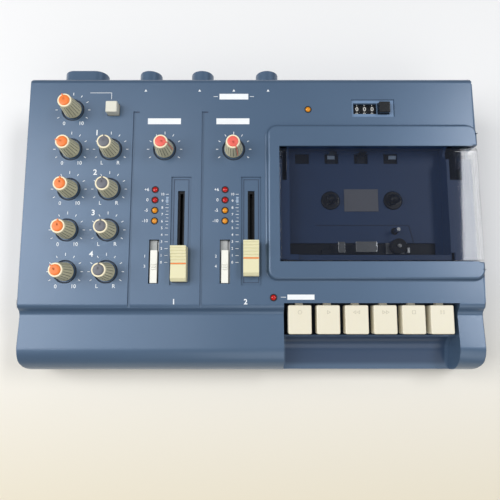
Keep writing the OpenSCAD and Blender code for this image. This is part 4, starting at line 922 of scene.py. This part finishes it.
# Tempered strip: blue-black with brighter patches from the heat; drawn at 0.8 mm.
spring_steel = grained("Blued spring steel", 0.8, 0.01, ("2c2f36", "41454e"), 4, Metallic=0.8,
                       Roughness=0.35)
for node, material, slot, radius in (("supply_reel_hub", black_plastic, "black", 0.4),
                                     ("takeup_reel_hub", black_plastic, "black", 0.4),
                                     ("tape_heads", head_metal, "head_metal", 0.3),
                                     ("pinch_arm", steel, "steel", 0.15),
                                     ("pinch_roller", rubber, "rubber", 0.25),
                                     ("head_bridge", black_steel, "steel", 0.1)):
    settle(dressed(node, radius), material, body_of[node], slot, node)
for node, material in (("deck_chassis", black_steel), ("cassette_springs", spring_steel),
                       ("capstan_flywheel", steel), ("drive_motor", steel),
                       ("motor_pulley", brass), ("capstan_belt", rubber),
                       ("key_shaft", steel), ("key_springs", steel)):
    paint_node(node, material)


# ---- Keys ----
# Six piano keys, moulded in cream ABS, that turn on one steel shaft against their springs.  Each
# has its symbol raised at the rear of its top.

key_x, key_pitch, key_top, symbol_y = 31.1, 18.18, -0.3, -2.3
stroke, symbol_high = 0.28, 0.12

# Moulded ABS: a warm cream, a little translucent, shinier than the knobs; drawn at 1 mm.
key_ivory = grained("Cream ABS, satin", 1, 0.01, ("e1dac4", "e7e1cd"), 30, Roughness=0.38,
                    Subsurface_Weight=0.05, Subsurface_Radius=(0.001, 0.0008, 0.0005))
# Painted shade: the key's own plastic, greyed where the raised outlines catch shade; they show
# only from near.
symbol_shade = grained("Raised symbol, shaded grey", 0.8, 0.01, ("bdb8a6", "c9c4b2"), 2,
                      Roughness=0.45)


def outline(x, vertices, radius, turn=0, wide=1.0, tall=1.0):
    """A raised outline with so many corners, on a key's top."""
    bpy.ops.mesh.primitive_circle_add(vertices=vertices, radius=radius / 1000, fill_type="NGON")
    shape = bpy.context.active_object
    bpy.ops.object.mode_set(mode="EDIT")
    bpy.ops.mesh.select_mode(type="FACE")
    bpy.ops.mesh.select_all(action="SELECT")
    bpy.ops.mesh.inset(thickness=stroke / 1000)
    bpy.ops.mesh.delete(type="FACE")
    bpy.ops.mesh.select_all(action="SELECT")
    bpy.ops.mesh.extrude_region_move(
        TRANSFORM_OT_translate={"value": (0, 0, symbol_high / 1000)})
    bpy.ops.mesh.select_all(action="SELECT")
    bpy.ops.mesh.normals_make_consistent(inside=False)
    bpy.ops.object.mode_set(mode="OBJECT")
    spread = Matrix.Diagonal((wide, tall, 1, 1)) @ Matrix.Rotation(math.radians(turn), 4, "Z")
    shape.data.transform(Matrix.Translation((x / 1000, 0, (key_top - 0.02) / 1000)) @ spread)
    return shape


symbols = {
    "record_key": lambda: [outline(0, 32, 1.3)],
    "play_key": lambda: [outline(0, 3, 1.5, -90)],
    "rewind_key": lambda: [outline(x, 3, 1.4, 90) for x in (-1.2, 1.2)],
    "fast_forward_key": lambda: [outline(x, 3, 1.4, -90) for x in (-1.2, 1.2)],
    "stop_key": lambda: [outline(0, 4, 1.6, 45)],
    "pause_key": lambda: [outline(x, 4, 1.4, 45, 0.45, 1.1) for x in (-0.9, 0.9)],
}
for i, (node, shapes) in enumerate(symbols.items()):
    key = dressed(node, 0.8, 4, 60)
    key.data.materials.append(key_ivory)
    symbol = to_panel(join(shapes(), "symbol"), key_x + i * key_pitch, symbol_y)
    # The raised symbols take the painted shade.
    symbol.data.materials.append(symbol_shade)
    settle(join([symbol, key], node + "_dressed"), None, body_of[node], "ivory", node)


# ---- Boards, pots and switches ----
# Green boards of glass fibre, one on the floor and one under the panel, held by screws.  The
# pots, slide pots and switches are pressed tin cases soldered on the panel's board.

# Solder resist over a glass weave: glossy green, uneven over about 6 mm; drawn at 0.7 mm.
board_green = grained("Green solder resist on glass fibre", 0.7, 0.008, ("1d4a2c", "245a35"), 6,
                      Roughness=0.35)
# Tinned pressed steel: a soft bright grey, cloudy over about 6 mm; drawn at 0.7 mm.
tin = grained("Tin plated pot case", 0.7, 0.008, ("9a9c9e", "b0b2b4"), 6, Metallic=1.0,
              Roughness=0.35)
for node, material in (("main_board", board_green), ("panel_board", board_green),
                       ("rotary_pots", tin), ("slide_pots", black_steel), ("switch_bodies", tin)):
    paint_node(node, material)


# ---- Rear sockets ----
# Three phone jacks moulded in black plastic and a pair of brass line sockets, pushed in the
# cover's barrels from inside.  The power inlet and the input selector stand in the rear wall.

for node, material, slot in (("phone_jacks", gloss_black, "black"),
                             ("line_out_jacks", brass, "brass"),
                             ("power_inlet", gloss_black, "black"),
                             ("input_selector", gloss_black, "black")):
    settle(dressed(node, 0.15), material, body_of[node], slot, node)


# ---- Table, light and camera ----
# A white table with a painted warm shade, in cream, towards the viewer.  Soft daylight falls from
# the left and above, and a narrow window on the right gives the door its reflection.

bpy.ops.mesh.primitive_plane_add(size=4, location=(0, 0, 0))
table = bpy.context.active_object
table.name = "table"
# Painted board: flat, dull and white.  A warm shade is painted on it in cream, full up to 200 mm
# before the machine's middle and gone from 30 mm before it.
warm_shade_full, shade_fade_end = -200, -30
white_top, shader, place = start_material("White table top", Roughness=0.7)
split = add(white_top, "SeparateXYZ", Vector=place)
fade = add(white_top, "MapRange", Value=split.outputs["Y"], From_Min=warm_shade_full / 1000,
           From_Max=shade_fade_end / 1000)
tone = add(white_top, "MixRGB", Fac=fade.outputs["Result"], Color1=hex_colour("dfd6c0"),
           Color2=hex_colour("ececec"))
feed(shader, Base_Color=tone.outputs["Color"])
table.data.materials.append(white_top)


def lamp(name, place, aim, wide, deep, power, colour):
    """A rectangular soft light that faces a point; places and sizes in metres, power in watts."""
    bpy.ops.object.light_add(type="AREA", location=place)
    light = bpy.context.active_object
    light.name = name
    light.data.shape = "RECTANGLE"
    light.data.size = wide
    light.data.size_y = deep
    light.data.energy = power
    light.data.color = hex_colour(colour)[:3]
    light.rotation_euler = (Vector(aim) - Vector(place)).to_track_quat("-Z", "Y").to_euler()


lamp("window_left", (-1.15, 0.0, 1.0), (0, 0, 0), 1.0, 1.3, 15.5, "ffffff")
lamp("ceiling_left", (-0.6, 0.1, 1.5), (-0.6, 0.1, 0), 0.9, 1.2, 5, "ffffff")
lamp("window_right", (1.04, 0.3, 1.5), (1.04, 0.3, 0), 0.45, 0.9, 15, "fafcff")
lamp("room_front", (0.4, -1.1, 0.9), (0.1, 0, 0), 1.2, 0.8, 4, "fffdf8")

# A pale room all round, at about a quarter of full strength, fills the shadows.
world = bpy.data.worlds.new("Room")
bpy.context.scene.world = world
world.use_nodes = True
back = world.node_tree.nodes["Background"]
back.inputs["Color"].default_value = hex_colour("f0f2f5")
back.inputs["Strength"].default_value = 0.26

# The camera stands nearly straight above the front of the panel, 335 mm up, and leans 11.3 degrees
# to the rear.  Its place and lens bring the panel's corners to their places in the photograph.
bpy.ops.object.camera_add(location=(-0.00075, -0.08415, 0.33478),
                          rotation=(math.radians(11.30), 0, 0))
camera = bpy.context.active_object
camera.data.lens = 32.94
camera.data.sensor_width = 36
bpy.context.scene.camera = camera
bpy.context.scene.view_settings.view_transform = "Standard"
